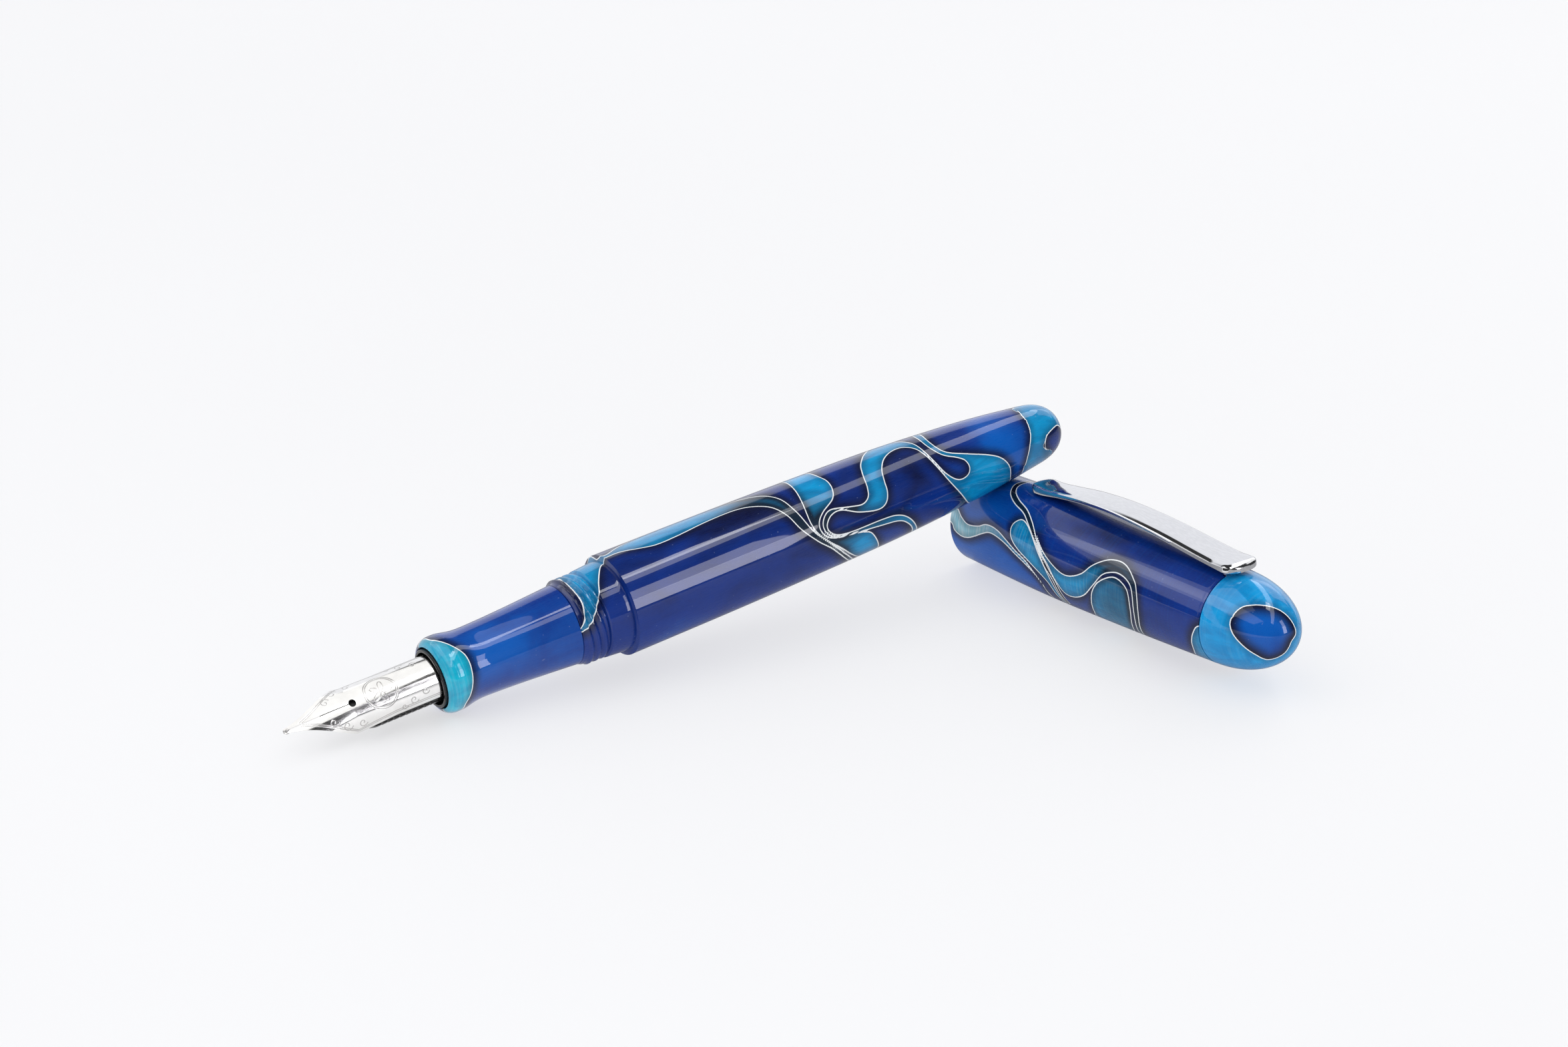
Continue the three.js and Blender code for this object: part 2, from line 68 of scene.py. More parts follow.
# Barrel (mm). PLAIN_TENON is (start, end, front radius, rear radius), and both domed ends are
# (x, radius, slope, length, fullness), as dome() takes them.
BARREL_FRONT = 20.12
THREAD_START, THREAD_END, THREAD_ROOT, THREAD_CREST = 20.7, 24.15, 5.85, 6.2
THREAD_PITCH, THREAD_STARTS, THREAD_FLANK, THREAD_RUN_OUT = 1.1, 3, 2.7, 0.3
PLAIN_TENON = (24.3, 27.3, 6.3, 6.52)
STEP_X, STEP_FACE = 28, 6.95
BARREL_BODY = [(28, 7.28), (50, 7.15), (72, 6.73), (86, 6.0), (93.5, 5.37), (100.4, 4.57)]
BARREL_NOSE = (100.4, 4.57, -0.125, 5.17, 2.7)
SOCKET_RADIUS, SOCKET_END, ROOM_RADIUS, ROOM_END, ROOM_TIP = 4.7, 28.6, 4.15, 88, 92.5

# Cap (mm). CAP_THREAD is (start, end, crest radius, root radius).
CAP_BODY = [(0.2, 7.1), (18, 7.49), (36, 7.27), (54.2, 6.75)]
CAP_LENGTH, CAP_RIM, CAP_MOUTH_BORE, CAP_BORE, CAP_BORE_END = 54.2, 6.95, 6.66, 5.85, 51.5
CAP_THREAD = (3, 8, 6.05, 6.4)
TAB_SLOT_X, TAB_SLOT_RADIUS, TAB_SLOT_HALF_ANGLE = 53.7, 5.85, math.radians(17)
FINIAL_BASE, FINIAL_TENON = 54.28, 2.95
FINIAL_DOME = (54.28, 6.74, -0.03, 10.7, 2.1)


def axis_frame(origin, axis, side):
    """World matrix of a local frame in millimetres, with x along axis and y along side."""
    x = Vector(axis).normalized()
    y = (Vector(side) - x * x.dot(Vector(side))).normalized()
    z = x.cross(y)
    turn = Matrix((x, y, z)).transposed().to_4x4()
    return Matrix.Translation(origin) @ turn @ Matrix.Scale(MM, 4)


PEN_AXIS = -Vector(JOINTS["section_pull"]["axis"])
CAP_AXIS = Vector(JOINTS["finial_pull"]["axis"])
PEN = axis_frame(JOINTS["nib_unit_turn"]["pos_m"], PEN_AXIS, (0, 1, 0))
RIM_MARK = 6.8 * MM  # height of the cap_rim mount over the cap's axis
CAP_SIDE = Vector((0, 0, 1)).cross(CAP_AXIS)
CAP_UP = CAP_AXIS.cross(CAP_SIDE.normalized())
CAP = axis_frame(Vector(MOUNTS["cap_rim"]["pos_m"]) - CAP_UP * RIM_MARK, CAP_AXIS, CAP_SIDE)
NIB_ROLL, CLIP_ROLL = math.radians(45), math.radians(2)
NIB_FRAME = PEN @ Matrix.Rotation(NIB_ROLL, 4, "X")
CLIP_FRAME = CAP @ Matrix.Rotation(CLIP_ROLL, 4, "X")


# ---- Curves and meshes ----------------------------------------------------------------------------

def catmull(points, steps, closed=False):
    """A smooth curve through points, as an array with steps samples for each stretch."""
    pts = np.array(points, float)
    count = len(pts)
    if closed:
        ids = np.arange(-1, count + 2) % count
        spans = count
    else:
        ids = np.clip(np.arange(-1, count + 1), 0, count - 1)
        spans = count - 1
    p = pts[ids]
    t = np.linspace(0, 1, steps, endpoint=False)[:, None]
    out = []
    for i in range(spans):
        a, b, c, d = p[i:i + 4]
        bend, twist = 2 * a - 5 * b + 4 * c - d, 3 * b - a - 3 * c + d
        out.append(0.5 * (2 * b + (c - a) * t + bend * t**2 + twist * t**3))
    if not closed:
        out.append(pts[-1:])
    return np.concatenate(out)


def spaced(points, step):
    """The points of an open polyline, resampled so that no stretch is longer than step."""
    pts = np.array(points, float)
    out = [pts[:1]]
    for a, b in zip(pts[:-1], pts[1:]):
        parts = max(1, math.ceil(np.linalg.norm(b - a) / step))
        out.append(a + (b - a) * np.linspace(0, 1, parts + 1)[1:, None])
    return np.concatenate(out)


def dome(start, radius, slope, length, fullness, steps=26):
    """Profile of a domed end that keeps the slope of the wall that it closes."""
    u = np.sin(np.linspace(0, math.pi / 2, steps + 1)[1:-1])
    r = (radius + slope * length * u) * (1 - u**fullness) ** (1 / fullness)
    return [*zip(start + length * u, r), (start + length, 0)]


def new_object(name, verts, faces, placed, body, finish, sharp=32):
    """Makes a smooth-shaded piece from local millimetre vertices, in place of the CAD node of its name.

    finish is the material and its slot, and the slot is not used. Each vertex keeps its local place, which
    every material's grain follows.
    """
    material, slot = finish
    mesh = bpy.data.meshes.new(name)
    mesh.from_pydata([tuple(v) for v in verts], [], [tuple(f) for f in faces])
    mesh.transform(placed)
    mesh.polygons.foreach_set("use_smooth", [True] * len(mesh.polygons))
    mesh.set_sharp_from_angle(angle=math.radians(sharp))
    mesh.materials.append(material)
    layer = mesh.attributes.new("mm", "FLOAT_VECTOR", "POINT")
    layer.data.foreach_set("vector", np.asarray(verts, np.float32).ravel())
    piece = bpy.data.objects.new(name, mesh)
    bpy.context.scene.collection.objects.link(piece)
    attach(piece, body)
    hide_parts(name)
    return piece


class Turned:
    """A turned solid: rings of vertices round x, from a profile of (x, radius) points.

    The profile ends on the axis, or runs from its last point back to its first. relief(x, angle, radius) may
    change a ring point's radius.
    """

    def __init__(self, profile, around, relief=None):
        profile = [(float(x), float(r)) for x, r in profile]
        open_ends = profile[0][1] == 0 or profile[-1][1] == 0
        angles = np.arange(around) * 2 * math.pi / around
        rows, verts, tags = [], [], []
        for x, radius in profile:
            if radius == 0:
                rows.append([len(verts)])
                verts.append((x, 0, 0))
                tags.append((x, 0, 0))
                continue
            rows.append(list(range(len(verts), len(verts) + around)))
            for angle in angles:
                r = radius if relief is None else relief(x, angle, radius)
                verts.append((x, -r * math.sin(angle), r * math.cos(angle)))
                tags.append((x, angle, r))
        faces = []
        pairs = list(zip(rows[:-1], rows[1:]))
        if not open_ends:
            pairs.append((rows[-1], rows[0]))
        for low, high in pairs:
            for i in range(around):
                j = (i + 1) % around
                if len(low) == 1 and len(high) == 1:
                    continue
                if len(low) == 1:
                    faces.append((low[0], high[i], high[j]))
                elif len(high) == 1:
                    faces.append((low[j], low[i], high[0]))
                else:
                    faces.append((low[j], low[i], high[i], high[j]))
        self.around, self.faces = around, faces
        self.verts, self.tags = np.array(verts), np.array(tags)

    def join(self, lining):
        """Adds another turned surface, facing inwards, that starts from this one's first ring."""
        shift = len(self.verts) - self.around
        for face in lining.faces:
            self.faces.append(tuple(i if i < self.around else i + shift for i in reversed(face)))
        self.verts = np.concatenate([self.verts, lining.verts[self.around:]])
        self.tags = np.concatenate([self.tags, lining.tags[self.around:]])


def add_field(piece, name, values):
    """Stores one number for each vertex, for the material to read."""
    layer = piece.data.attributes.new(name, "FLOAT", "POINT")
    layer.data.foreach_set("value", np.asarray(values, np.float32))


# ---- Swirl pattern --------------------------------------------------------------------------------

class Patch:
    """A closed patch of the swirl on a turned surface, from (x, degrees) points.

    An end patch surrounds the tip or lies near it, so it is smoothed in space and tested as it looks along
    the axis.
    """

    def __init__(self, points, end=False, steps=8):
        self.points = np.array(points, float)
        self.end = end
        self.steps = steps

    @staticmethod
    def on_surface(x, degrees, radius):
        angle = np.radians(degrees)
        return np.stack([x, -radius * np.sin(angle), radius * np.cos(angle)], 1)

    def outline(self, radius_at):
        """The smooth outline in space, and as it is tested."""
        if self.end:
            x, degrees = self.points.T
            ring = catmull(self.on_surface(x, degrees, radius_at(x)), self.steps, closed=True)
            return ring, ring[:, 1:]
        flat = catmull(self.points, self.steps, closed=True)
        return self.on_surface(flat[:, 0], flat[:, 1], radius_at(flat[:, 0])), flat

    def inside(self, x, degrees, radius, radius_at):
        edge = self.outline(radius_at)[1]
        found = np.zeros(len(x), bool)
        for turn in (0,) if self.end else (-360, 0, 360):
            q = self.on_surface(x, degrees, radius)[:, 1:] if self.end else np.stack([x, degrees + turn], 1)
            hit = np.zeros(len(x), bool)
            for a, b in zip(edge, np.roll(edge, -1, 0)):
                if a[1] == b[1]:
                    continue
                crosses = (a[1] > q[:, 1]) != (b[1] > q[:, 1])
                hit ^= crosses & (q[:, 0] < (b[0] - a[0]) * (q[:, 1] - a[1]) / (b[1] - a[1]) + a[0])
            found |= hit
        if self.end:
            found &= x > self.points[:, 0].min() - 1
        return found

    def solid_points(self, radius_at):
        ring = self.outline(radius_at)[0]
        return spaced(np.concatenate([ring, ring[:1]]), 0.06)


def signed_distance(surface, patches, radius_at, reach=3.0):
    """Distance in mm from each vertex to the nearest edge of the patches, negative inside one of them."""
    if not patches:
        return np.full(len(surface.verts), reach)
    edges = np.concatenate([patch.solid_points(radius_at) for patch in patches])
    tree = KDTree(len(edges))
    for i, point in enumerate(edges):
        tree.insert(point, i)
    tree.balance()
    x, angle, _ = surface.tags.T
    radius = radius_at(x)
    on_skin = np.stack([x, -radius * np.sin(angle), radius * np.cos(angle)], 1)
    distance = np.array([tree.find(point)[2] for point in on_skin])
    degrees = (np.degrees(angle) + 180) % 360 - 180
    odd = np.zeros(len(x), bool)
    for patch in patches:
        odd ^= patch.inside(x, degrees, radius, radius_at)
    return np.where(odd, -1, 1) * np.minimum(distance, reach)


def spots(surface, marks, base):
    """A smooth field: base, moved towards each mark's value within its reach. A mark is
    (x, degrees, reach along x in mm, reach round in degrees, value)."""
    x, angle, _ = surface.tags.T
    degrees = (np.degrees(angle) + 180) % 360 - 180
    field = np.full(len(x), float(base))
    for mx, mdeg, rx, rdeg, value in marks:
        turn = (degrees - mdeg + 180) % 360 - 180
        weight = np.exp(-(((x - mx) / rx) ** 2) - (turn / rdeg) ** 2)
        field += weight * (value - field)
    return field


def paint(piece, surface, radius_at, cyan=(), dark=(), tone=(), tone_base=0.3, glow=(), glow_base=0.7):
    add_field(piece, "cyan_edge", signed_distance(surface, cyan, radius_at))
    add_field(piece, "dark_edge", signed_distance(surface, dark, radius_at))
    add_field(piece, "tone", spots(surface, tone, tone_base))
    add_field(piece, "glow", spots(surface, glow, glow_base))


# ---- Materials ------------------------------------------------------------------------------------

class Nodes:
    """Builds a node tree. A socket argument is either a node's output or a constant."""

    def __init__(self, tree):
        self.tree = tree

    def node(self, kind, **settings):
        made = self.tree.nodes.new("ShaderNode" + kind)
        for key, value in settings.items():
            setattr(made, key, value)
        return made

    def feed(self, socket, value):
        if isinstance(value, bpy.types.NodeSocket):
            self.tree.links.new(value, socket)
        else:
            socket.default_value = value

    def math(self, operation, a, b=0.5, clamp=False):
        made = self.node("Math", operation=operation, use_clamp=clamp)
        self.feed(made.inputs[0], a)
        self.feed(made.inputs[1], b)
        return made.outputs[0]

    def fade(self, value, low, high, at_low=0.0, at_high=1.0, shape="SMOOTHSTEP"):
        """Change from at_low to at_high as value goes from low to high."""
        made = self.node("MapRange", interpolation_type=shape)
        for socket, number in zip(made.inputs[:5], (value, low, high, at_low, at_high)):
            self.feed(socket, number)
        return made.outputs[0]

    def mix(self, factor, a, b, blend="MIX"):
        made = self.node("Mix", data_type="RGBA", blend_type=blend)
        self.feed(made.inputs["Factor"], factor)
        for socket, colour in ((made.inputs[6], a), (made.inputs[7], b)):
            self.feed(socket, colour if isinstance(colour, bpy.types.NodeSocket) else (*colour, 1))
        return made.outputs[2]


class Shader(Nodes):
    """Builds the nodes of one new material."""

    def __init__(self, name):
        self.material = bpy.data.materials.new(name)
        self.material.use_nodes = True
        super().__init__(self.material.node_tree)
        self.surface = self.tree.nodes["Principled BSDF"]

    def set(self, **values):
        for key, value in values.items():
            self.feed(self.surface.inputs[key.replace("_", " ")], value)

    def field(self, name, output="Fac"):
        return self.node("Attribute", attribute_name=name).outputs[output]

    def place(self, scale=(1, 1, 1)):
        """The piece's own millimetre coordinates, stretched by scale."""
        moved = self.node("Mapping")
        self.feed(moved.inputs["Vector"], self.field("mm", "Vector"))
        moved.inputs["Scale"].default_value = scale
        return moved.outputs["Vector"]

    def noise(self, scale, detail=3, stretch=(1, 1, 1), distortion=0.0):
        made = self.node("TexNoise")
        self.feed(made.inputs["Vector"], self.place(stretch))
        made.inputs["Scale"].default_value = scale
        made.inputs["Detail"].default_value = detail
        made.inputs["Distortion"].default_value = distortion
        return made.outputs["Fac"]

    def bump(self, height, strength, distance=0.02):
        made = self.node("Bump")
        made.inputs["Strength"].default_value = strength
        made.inputs["Distance"].default_value = distance * MM
        self.feed(made.inputs["Height"], height)
        return made.outputs["Normal"]


DEEP_BLUE, ROYAL_BLUE, BRIGHT_BLUE = (0.003, 0.005, 0.042), (0.003, 0.032, 0.25), (0.001, 0.115, 0.52)
PEARL_BLUE, PEARL_CYAN = (0.03, 0.17, 0.58), (0.08, 0.5, 0.78)
SMOKE_IN, SMOKE_OUT, INK = (0.008, 0.022, 0.045), (0.006, 0.008, 0.03), (0.005, 0.008, 0.022)
SEAM_WHITE, SEAM_HALF, SEAM_EDGE = (0.95, 0.98, 0.98), 0.055, 0.1
CROSSING = 0.02  # distance (mm) over which one colour of the swirl gives way to the next


def acrylic(name, tone_bias=0.0, streaks=0.0, cyans=((0.0, 0.24, 0.54), (0.002, 0.38, 0.76)),
            smoke=(1.8, 0.88), pale=None):
    """Cast acrylic with cyan ribbons, fine white seams and smoky edges in a pearly blue.

    cyans are the darkest and lightest colour of the ribbons. smoke is the reach (mm) and depth of the dark
    halo outside a ribbon. pale is the pair of x places between which ribbons change from a milky turquoise
    to their own colour.
    """
    s = Shader(name)
    cyan_edge, dark_edge = s.field("cyan_edge"), s.field("dark_edge")
    cloud = s.noise(0.22, 4, (0.6, 1, 1), 0.6)
    pearl = s.noise(14, 2)
    tone = s.math("ADD", s.field("tone"), s.math("MULTIPLY", s.math("SUBTRACT", cloud, 0.5), 0.55))
    tone = s.math("ADD", tone, tone_bias, clamp=True)
    blue = s.mix(s.fade(tone, 0.0, 0.5), DEEP_BLUE, ROYAL_BLUE)
    blue = s.mix(s.fade(tone, 0.45, 1.0), blue, BRIGHT_BLUE)
    blue = s.mix(s.fade(pearl, 0.52, 0.8, 0.0, 0.16), blue, PEARL_BLUE)
    ribbon = s.noise(0.55, 4, (0.35, 1, 1), 0.8)
    cyan = s.mix(s.fade(ribbon, 0.3, 0.72), *cyans)
    cyan = s.mix(s.fade(pearl, 0.5, 0.8, 0.0, 0.2), cyan, PEARL_CYAN)
    if streaks:
        turning = s.noise(3.2, 3, (1, 0.04, 0.04))
        cyan = s.mix(s.fade(turning, 0.45, 0.7, 0.0, streaks), cyan, (0.35, 0.75, 0.85))
        blue = s.mix(s.fade(turning, 0.45, 0.7, 0.0, streaks * 0.5), blue, (0.0, 0.12, 0.5))
    if pale:
        split = s.node("SeparateXYZ")
        s.feed(split.inputs[0], s.place())
        rings = s.fade(s.noise(4, 3, (1, 0.05, 0.05)), 0.4, 0.65)
        milky = s.mix(rings, (0.3, 0.66, 0.74), (0.62, 0.85, 0.88))
        cyan = s.mix(s.fade(split.outputs["X"], *pale, 0.85, 0.0), cyan, milky)
    smoke_in = s.fade(cyan_edge, -1.3, -0.1)
    glow = s.math("SUBTRACT", s.field("glow"), s.math("MULTIPLY", smoke_in, 0.35), clamp=True)
    cyan = s.mix(glow, SMOKE_IN, cyan)
    reach, depth = smoke
    blue = s.mix(s.fade(cyan_edge, 0.08, reach, depth, 0.0), blue, SMOKE_OUT)
    blue = s.mix(s.fade(dark_edge, -CROSSING, CROSSING, 1.0, 0.0), blue, INK)
    colour = s.mix(s.fade(cyan_edge, -CROSSING, CROSSING, 1.0, 0.0), blue, cyan)
    nearest = s.math("MINIMUM", s.math("ABSOLUTE", cyan_edge), s.math("ABSOLUTE", dark_edge))
    colour = s.mix(s.fade(nearest, SEAM_HALF, SEAM_EDGE, 1.0, 0.0), colour, SEAM_WHITE)
    dust = s.fade(s.noise(2.6, 0), 0.83, 0.86, 0.0, 0.25)
    colour = s.mix(dust, colour, (0.3, 0.36, 0.55))
    scratch = s.noise(5, 5, (0.12, 1.6, 1.6))
    s.set(Base_Color=colour, Roughness=s.fade(scratch, 0.3, 0.75, 0.25, 0.36), Specular_IOR_Level=0.08)
    s.set(Coat_Weight=1.0, Coat_Roughness=0.02, Coat_IOR=1.5)
    s.set(Normal=s.bump(scratch, 0.06))
    return s.material


def steel():
    """Polished nib steel with engraved lines, read from the distance to the nearest engraved curve."""
    s = Shader("nib steel")
    cut = s.fade(s.field("engraving"), 0.03, 0.09, 1.0, 0.0)
    grain = s.noise(9, 4, (0.15, 2, 2))
    tint = s.mix(s.fade(s.noise(0.5, 2), 0.3, 0.7), (0.86, 0.85, 0.83), (0.93, 0.92, 0.9))
    s.set(Base_Color=s.mix(s.math("MULTIPLY", cut, 0.6), tint, (0.2, 0.19, 0.18)), Metallic=1.0)
    s.set(Roughness=s.math("ADD", s.fade(grain, 0.3, 0.7, 0.07, 0.14), s.math("MULTIPLY", cut, 0.25)))
    lowered = s.math("SUBTRACT", s.math("MULTIPLY", grain, 0.02), cut)
    s.set(Normal=s.bump(lowered, 0.35, 0.03))
    return s.material


def metal(name, dark, light, smooth, rough):
    s = Shader(name)
    wear = s.noise(3, 5, (0.3, 1, 1))
    s.set(Base_Color=s.mix(s.fade(wear, 0.35, 0.7), dark, light), Metallic=1.0)
    s.set(Roughness=s.fade(wear, 0.3, 0.75, smooth, rough), Normal=s.bump(wear, 0.0015))
    return s.material


def plastic(name, dark, light, smooth, rough, clear=0.0):
    s = Shader(name)
    mottle = s.noise(6, 4)
    s.set(Base_Color=s.mix(s.fade(mottle, 0.35, 0.7), dark, light), IOR=1.5)
    s.set(Roughness=s.fade(mottle, 0.3, 0.75, smooth, rough), Normal=s.bump(s.noise(20, 3), 0.05))
    s.set(Transmission_Weight=clear)
    return s.material


# Each finish is a material and the name of a slot
BARREL_ACRYLIC = acrylic("barrel acrylic"), "blue_acrylic"
SECTION_ACRYLIC = acrylic("section acrylic", tone_bias=0.1, streaks=0.15,
                          cyans=((0.0, 0.36, 0.58), (0.004, 0.54, 0.74))), "blue_acrylic"
CAP_ACRYLIC = acrylic("cap acrylic", tone_bias=0.06, streaks=0.2, pale=(7, 14)), "blue_acrylic"
FINIAL_ACRYLIC = acrylic("finial acrylic", tone_bias=0.15, streaks=0.06, smoke=(2.2, 1.0),
                         cyans=((0.001, 0.25, 0.6), (0.004, 0.36, 0.78))), "cyan_acrylic"
STEEL = steel(), "nib_steel"
PELLET = metal("pellet alloy", (0.45, 0.44, 0.43), (0.6, 0.59, 0.58), 0.2, 0.34), "pellet_alloy"
CHROME = metal("clip chrome", (0.74, 0.745, 0.76), (0.8, 0.805, 0.82), 0.05, 0.1), "clip_chrome"
BLACK = plastic("black plastic", (0.006, 0.006, 0.007), (0.016, 0.016, 0.018), 0.22, 0.38), "black_plastic"
CLEAR = plastic("clear plastic", (0.86, 0.9, 0.92), (0.94, 0.96, 0.97), 0.03, 0.09, 0.9), "clear_plastic"
RUBBER = plastic("seal rubber", (0.012, 0.012, 0.012), (0.03, 0.03, 0.03), 0.5, 0.7), "seal_rubber"


def turned_piece(name, profile, placed, body, finish, around=72, relief=None):
    surface = Turned(profile, around, relief)
    return new_object(name, surface.verts, surface.faces, placed, body, finish), surface


def radius_table(points):
    """Outer radius at any x, from (x, radius) points with increasing x."""
    table = np.array(points, float)
    return lambda x: np.interp(x, table[:, 0], table[:, 1])


# ---- Section, barrel, cap and finial --------------------------------------------------------------

ROUND = 168  # vertices in each ring of a large piece
GRID = 0.3  # longest step (mm) between its rings

# Swirl patches, as (x, degrees) points
LIP_PATCH = [(-3, -34), (0.4, -30), (0.9, -2), (1.7, 13), (3.3, 40), (3.7, 53), (3.7, 69), (3.4, 89),
             (2.8, 108), (2.1, 123), (1.4, 148), (-3, 156)]
FRONT_BAND = [(21.6, -45), (21.8, -17), (21.4, 11), (21.5, 46), (20.8, 68), (19.7, 80), (20.6, 79),
              (21.9, 71), (23, 59), (24.3, 43), (25.3, 26), (27.1, 5), (28.4, 2), (30.5, 2), (33, 9),
              (35.5, 14), (39.1, 13), (43.9, 9), (48, 8), (50.4, 11), (52.5, 19), (53.8, 28), (54.9, 43),
              (55.9, 63), (57.9, 83), (60.5, 103), (63.7, 136), (65.4, 160), (66, 160), (64.4, 136),
              (62, 111), (60, 93), (57.6, 70), (56.4, 42), (55.5, 18), (53.8, 0), (51.3, -12), (49, -20),
              (46, -24), (42, -25), (37.6, -24), (33.9, -20), (31.2, -13), (28.7, -4), (27.8, -12),
              (27.5, -45)]
MIDDLE_RIBBON = [(60.5, -60), (59.2, -27), (58.9, -6), (58.5, 15), (57.7, 50), (57.8, 66), (58.6, 79),
                 (60, 91), (62.3, 109), (66.6, 149), (68.4, 164), (69.3, 149), (69, 132), (67.3, 104),
                 (65.8, 96), (63.5, 92), (61.2, 89), (59.6, 83), (58.8, 73), (59, 63), (60.2, 54), (62.5, 44),
                 (63.4, 32), (63.6, 18), (63.2, 3), (62.9, -27), (62, -60)]
REAR_RIBBON = [(75, -60), (74.4, -27), (71.5, -1), (69.8, 15), (68.9, 31), (68.4, 47), (67.8, 58), (66.5, 63),
               (64.4, 60), (61.6, 55), (60.2, 59), (59.4, 68), (59.6, 78), (60.8, 86), (63.2, 91), (68.8, 97),
               (71.8, 101), (73.4, 109), (74.8, 125), (75.8, 149), (76.3, 164), (76.7, 149), (75.2, 120),
               (73.6, 102), (71.8, 93), (69.4, 90), (64.1, 89), (61.5, 86), (60.2, 79), (60, 70), (61.2, 61),
               (63, 60), (65.6, 70), (68.7, 76), (70.3, 72), (71.1, 60), (71.4, 47), (72.1, 32), (73.6, 18),
               (75.6, 9), (77.5, 8), (79, 18), (79.7, 34), (80.4, 54), (81.5, 76), (83.6, 105), (86.9, 148),
               (91, 178), (93.9, 147), (93.4, 118), (92.9, 96), (91.6, 78), (89.5, 66), (86.3, 54),
               (83.3, 42), (82.2, 30), (81.9, 12), (82.5, -20), (82, -60)]
REAR_DROP = [(78, -50), (77.8, -26), (78.8, -7), (79.6, 9), (80, 30), (80.5, 48), (81.3, 65), (82.6, 78),
             (83.9, 83), (85.2, 80), (85.7, 71), (85.3, 60), (84.1, 52), (82.5, 44), (81.5, 33), (81, 18),
             (81.2, -5), (81.7, -28), (80.5, -50)]
END_CAP = [(99.1, -11), (98.7, 19), (98.5, 43), (98.1, 61), (97.3, 80), (96.5, 101), (96.1, 126), (96.5, 160),
           (97.6, 200), (98.6, 250), (99.1, 300)]
END_DROP = [(103.9, 66), (101.9, 70), (100.6, 80), (100.4, 100), (102, 139), (104.2, 132), (104.9, 98)]

CAP_MEANDER = [(-3, 60), (0.4, 66), (1.5, 69), (2.7, 76), (4.4, 81), (6.8, 78), (8.3, 73), (9.8, 72),
               (11.5, 74), (13.3, 79), (15.8, 87), (18.8, 97), (21.1, 115), (21.4, 136), (21, 150),
               (21.3, 122), (20.1, 107), (18.1, 98), (15.8, 91), (13.4, 84), (11, 80), (9.4, 80), (7.8, 85),
               (6.3, 91), (4.5, 97), (2.8, 99), (1.2, 95), (0.4, 87), (-3, 80)]
CAP_DROP = [(15.3, 52), (14.2, 59), (14.1, 68), (14.9, 77), (16.6, 85), (19.6, 95), (22.8, 110), (23.7, 130),
            (24.1, 150), (24.4, 137), (24.1, 115), (22.9, 96), (20.9, 79), (18.6, 63), (16.7, 54)]
CAP_DARK = [(8.6, -30), (8.2, -6), (8.2, 8), (8.6, 17), (9.8, 28), (12, 37), (14.9, 44), (16.9, 53),
            (18.9, 64), (20.9, 77), (22.6, 92), (24.3, 107), (24.9, 136), (25.5, 136), (24.9, 107),
            (23.2, 90), (21.2, 76), (19.3, 61), (17.6, 50), (15.2, 39), (12.3, 31), (10.2, 22), (9.2, 11),
            (9, -6)]
CAP_WAVE = [(19.7, 62), (21.8, 75), (24.1, 85), (26.3, 91), (28.2, 90), (30.5, 82), (32.1, 70), (33.7, 61),
            (35.3, 55), (37.2, 53), (38.8, 56), (40.4, 64), (41.5, 73), (42.2, 91), (42, 113), (40.2, 151),
            (39.5, 151), (41.1, 116), (41.3, 93), (40.7, 77), (39.4, 69), (37.5, 66), (35.8, 69), (34.5, 75),
            (33.1, 89), (31, 106), (28.5, 116), (26.4, 117), (25, 105), (23.4, 89), (21.6, 78)]
CAP_LOBE = [(30.6, 151), (31.5, 130), (32.2, 112), (32.8, 98), (33.8, 86), (35.3, 77), (36.9, 72), (38.6, 74),
            (40, 81), (40.6, 95), (40.4, 113), (38.5, 145), (35, 166)]
CAP_SEAM_LOOP = [(57, 84), (54.2, 88), (53.2, 98), (52.5, 112), (52, 128), (50.8, 152), (52, 172), (57, 176)]
FINIAL_DROP = [(59.1, 67), (59.6, 48), (60.6, 36), (62.1, 20), (63.3, 4), (64.3, -16), (64.8, -54),
               (65.0, -110), (65.0, -159), (64.5, 160), (63.3, 139), (62.4, 116), (61.1, 98), (59.7, 82)]


def section():
    turn = np.linspace(0, math.pi / 2, 12)
    lip = [(LIP_X * (1 - math.cos(a)), LIP_FACE + (LIP_RADIUS - LIP_FACE) * math.sin(a)) for a in turn]
    outer = spaced(np.concatenate([lip[:-1], catmull(SECTION_WAIST, 12)]), GRID)
    inner = [(SHOULDER_X, SECTION_TENON), (SECTION_TENON_END, SECTION_TENON),
             (SECTION_TENON_END, SECTION_BORE), (COLLAR_DEPTH, SECTION_BORE), (COLLAR_DEPTH, COLLAR_BORE),
             (0.12, COLLAR_BORE)]
    piece, surface = turned_piece("section", [*outer, *inner], PEN, "section", SECTION_ACRYLIC, ROUND)
    tones = [(8, 60, 5, 45, 0.85), (17, 100, 6, 60, 0.55)]
    paint(piece, surface, radius_table(outer), [Patch(LIP_PATCH)], (), tones, 0.5, [], 1.0)


def barrel_relief(x, angle, radius):
    """Three-start thread ridges between the barrel's front collar and its plain tenon."""
    if not THREAD_START < x < THREAD_END or radius < THREAD_ROOT - 0.01:
        return radius
    phase = (x - THREAD_START) / THREAD_PITCH - THREAD_STARTS * angle / (2 * math.pi)
    ridge = min(1, max(0, THREAD_FLANK / 2 - THREAD_FLANK * abs((phase % 1) - 0.5)))
    ends = min(1, (x - THREAD_START) / THREAD_RUN_OUT, (THREAD_END - x) / THREAD_RUN_OUT)
    return radius + (THREAD_CREST - THREAD_ROOT) * ridge * max(0, ends)


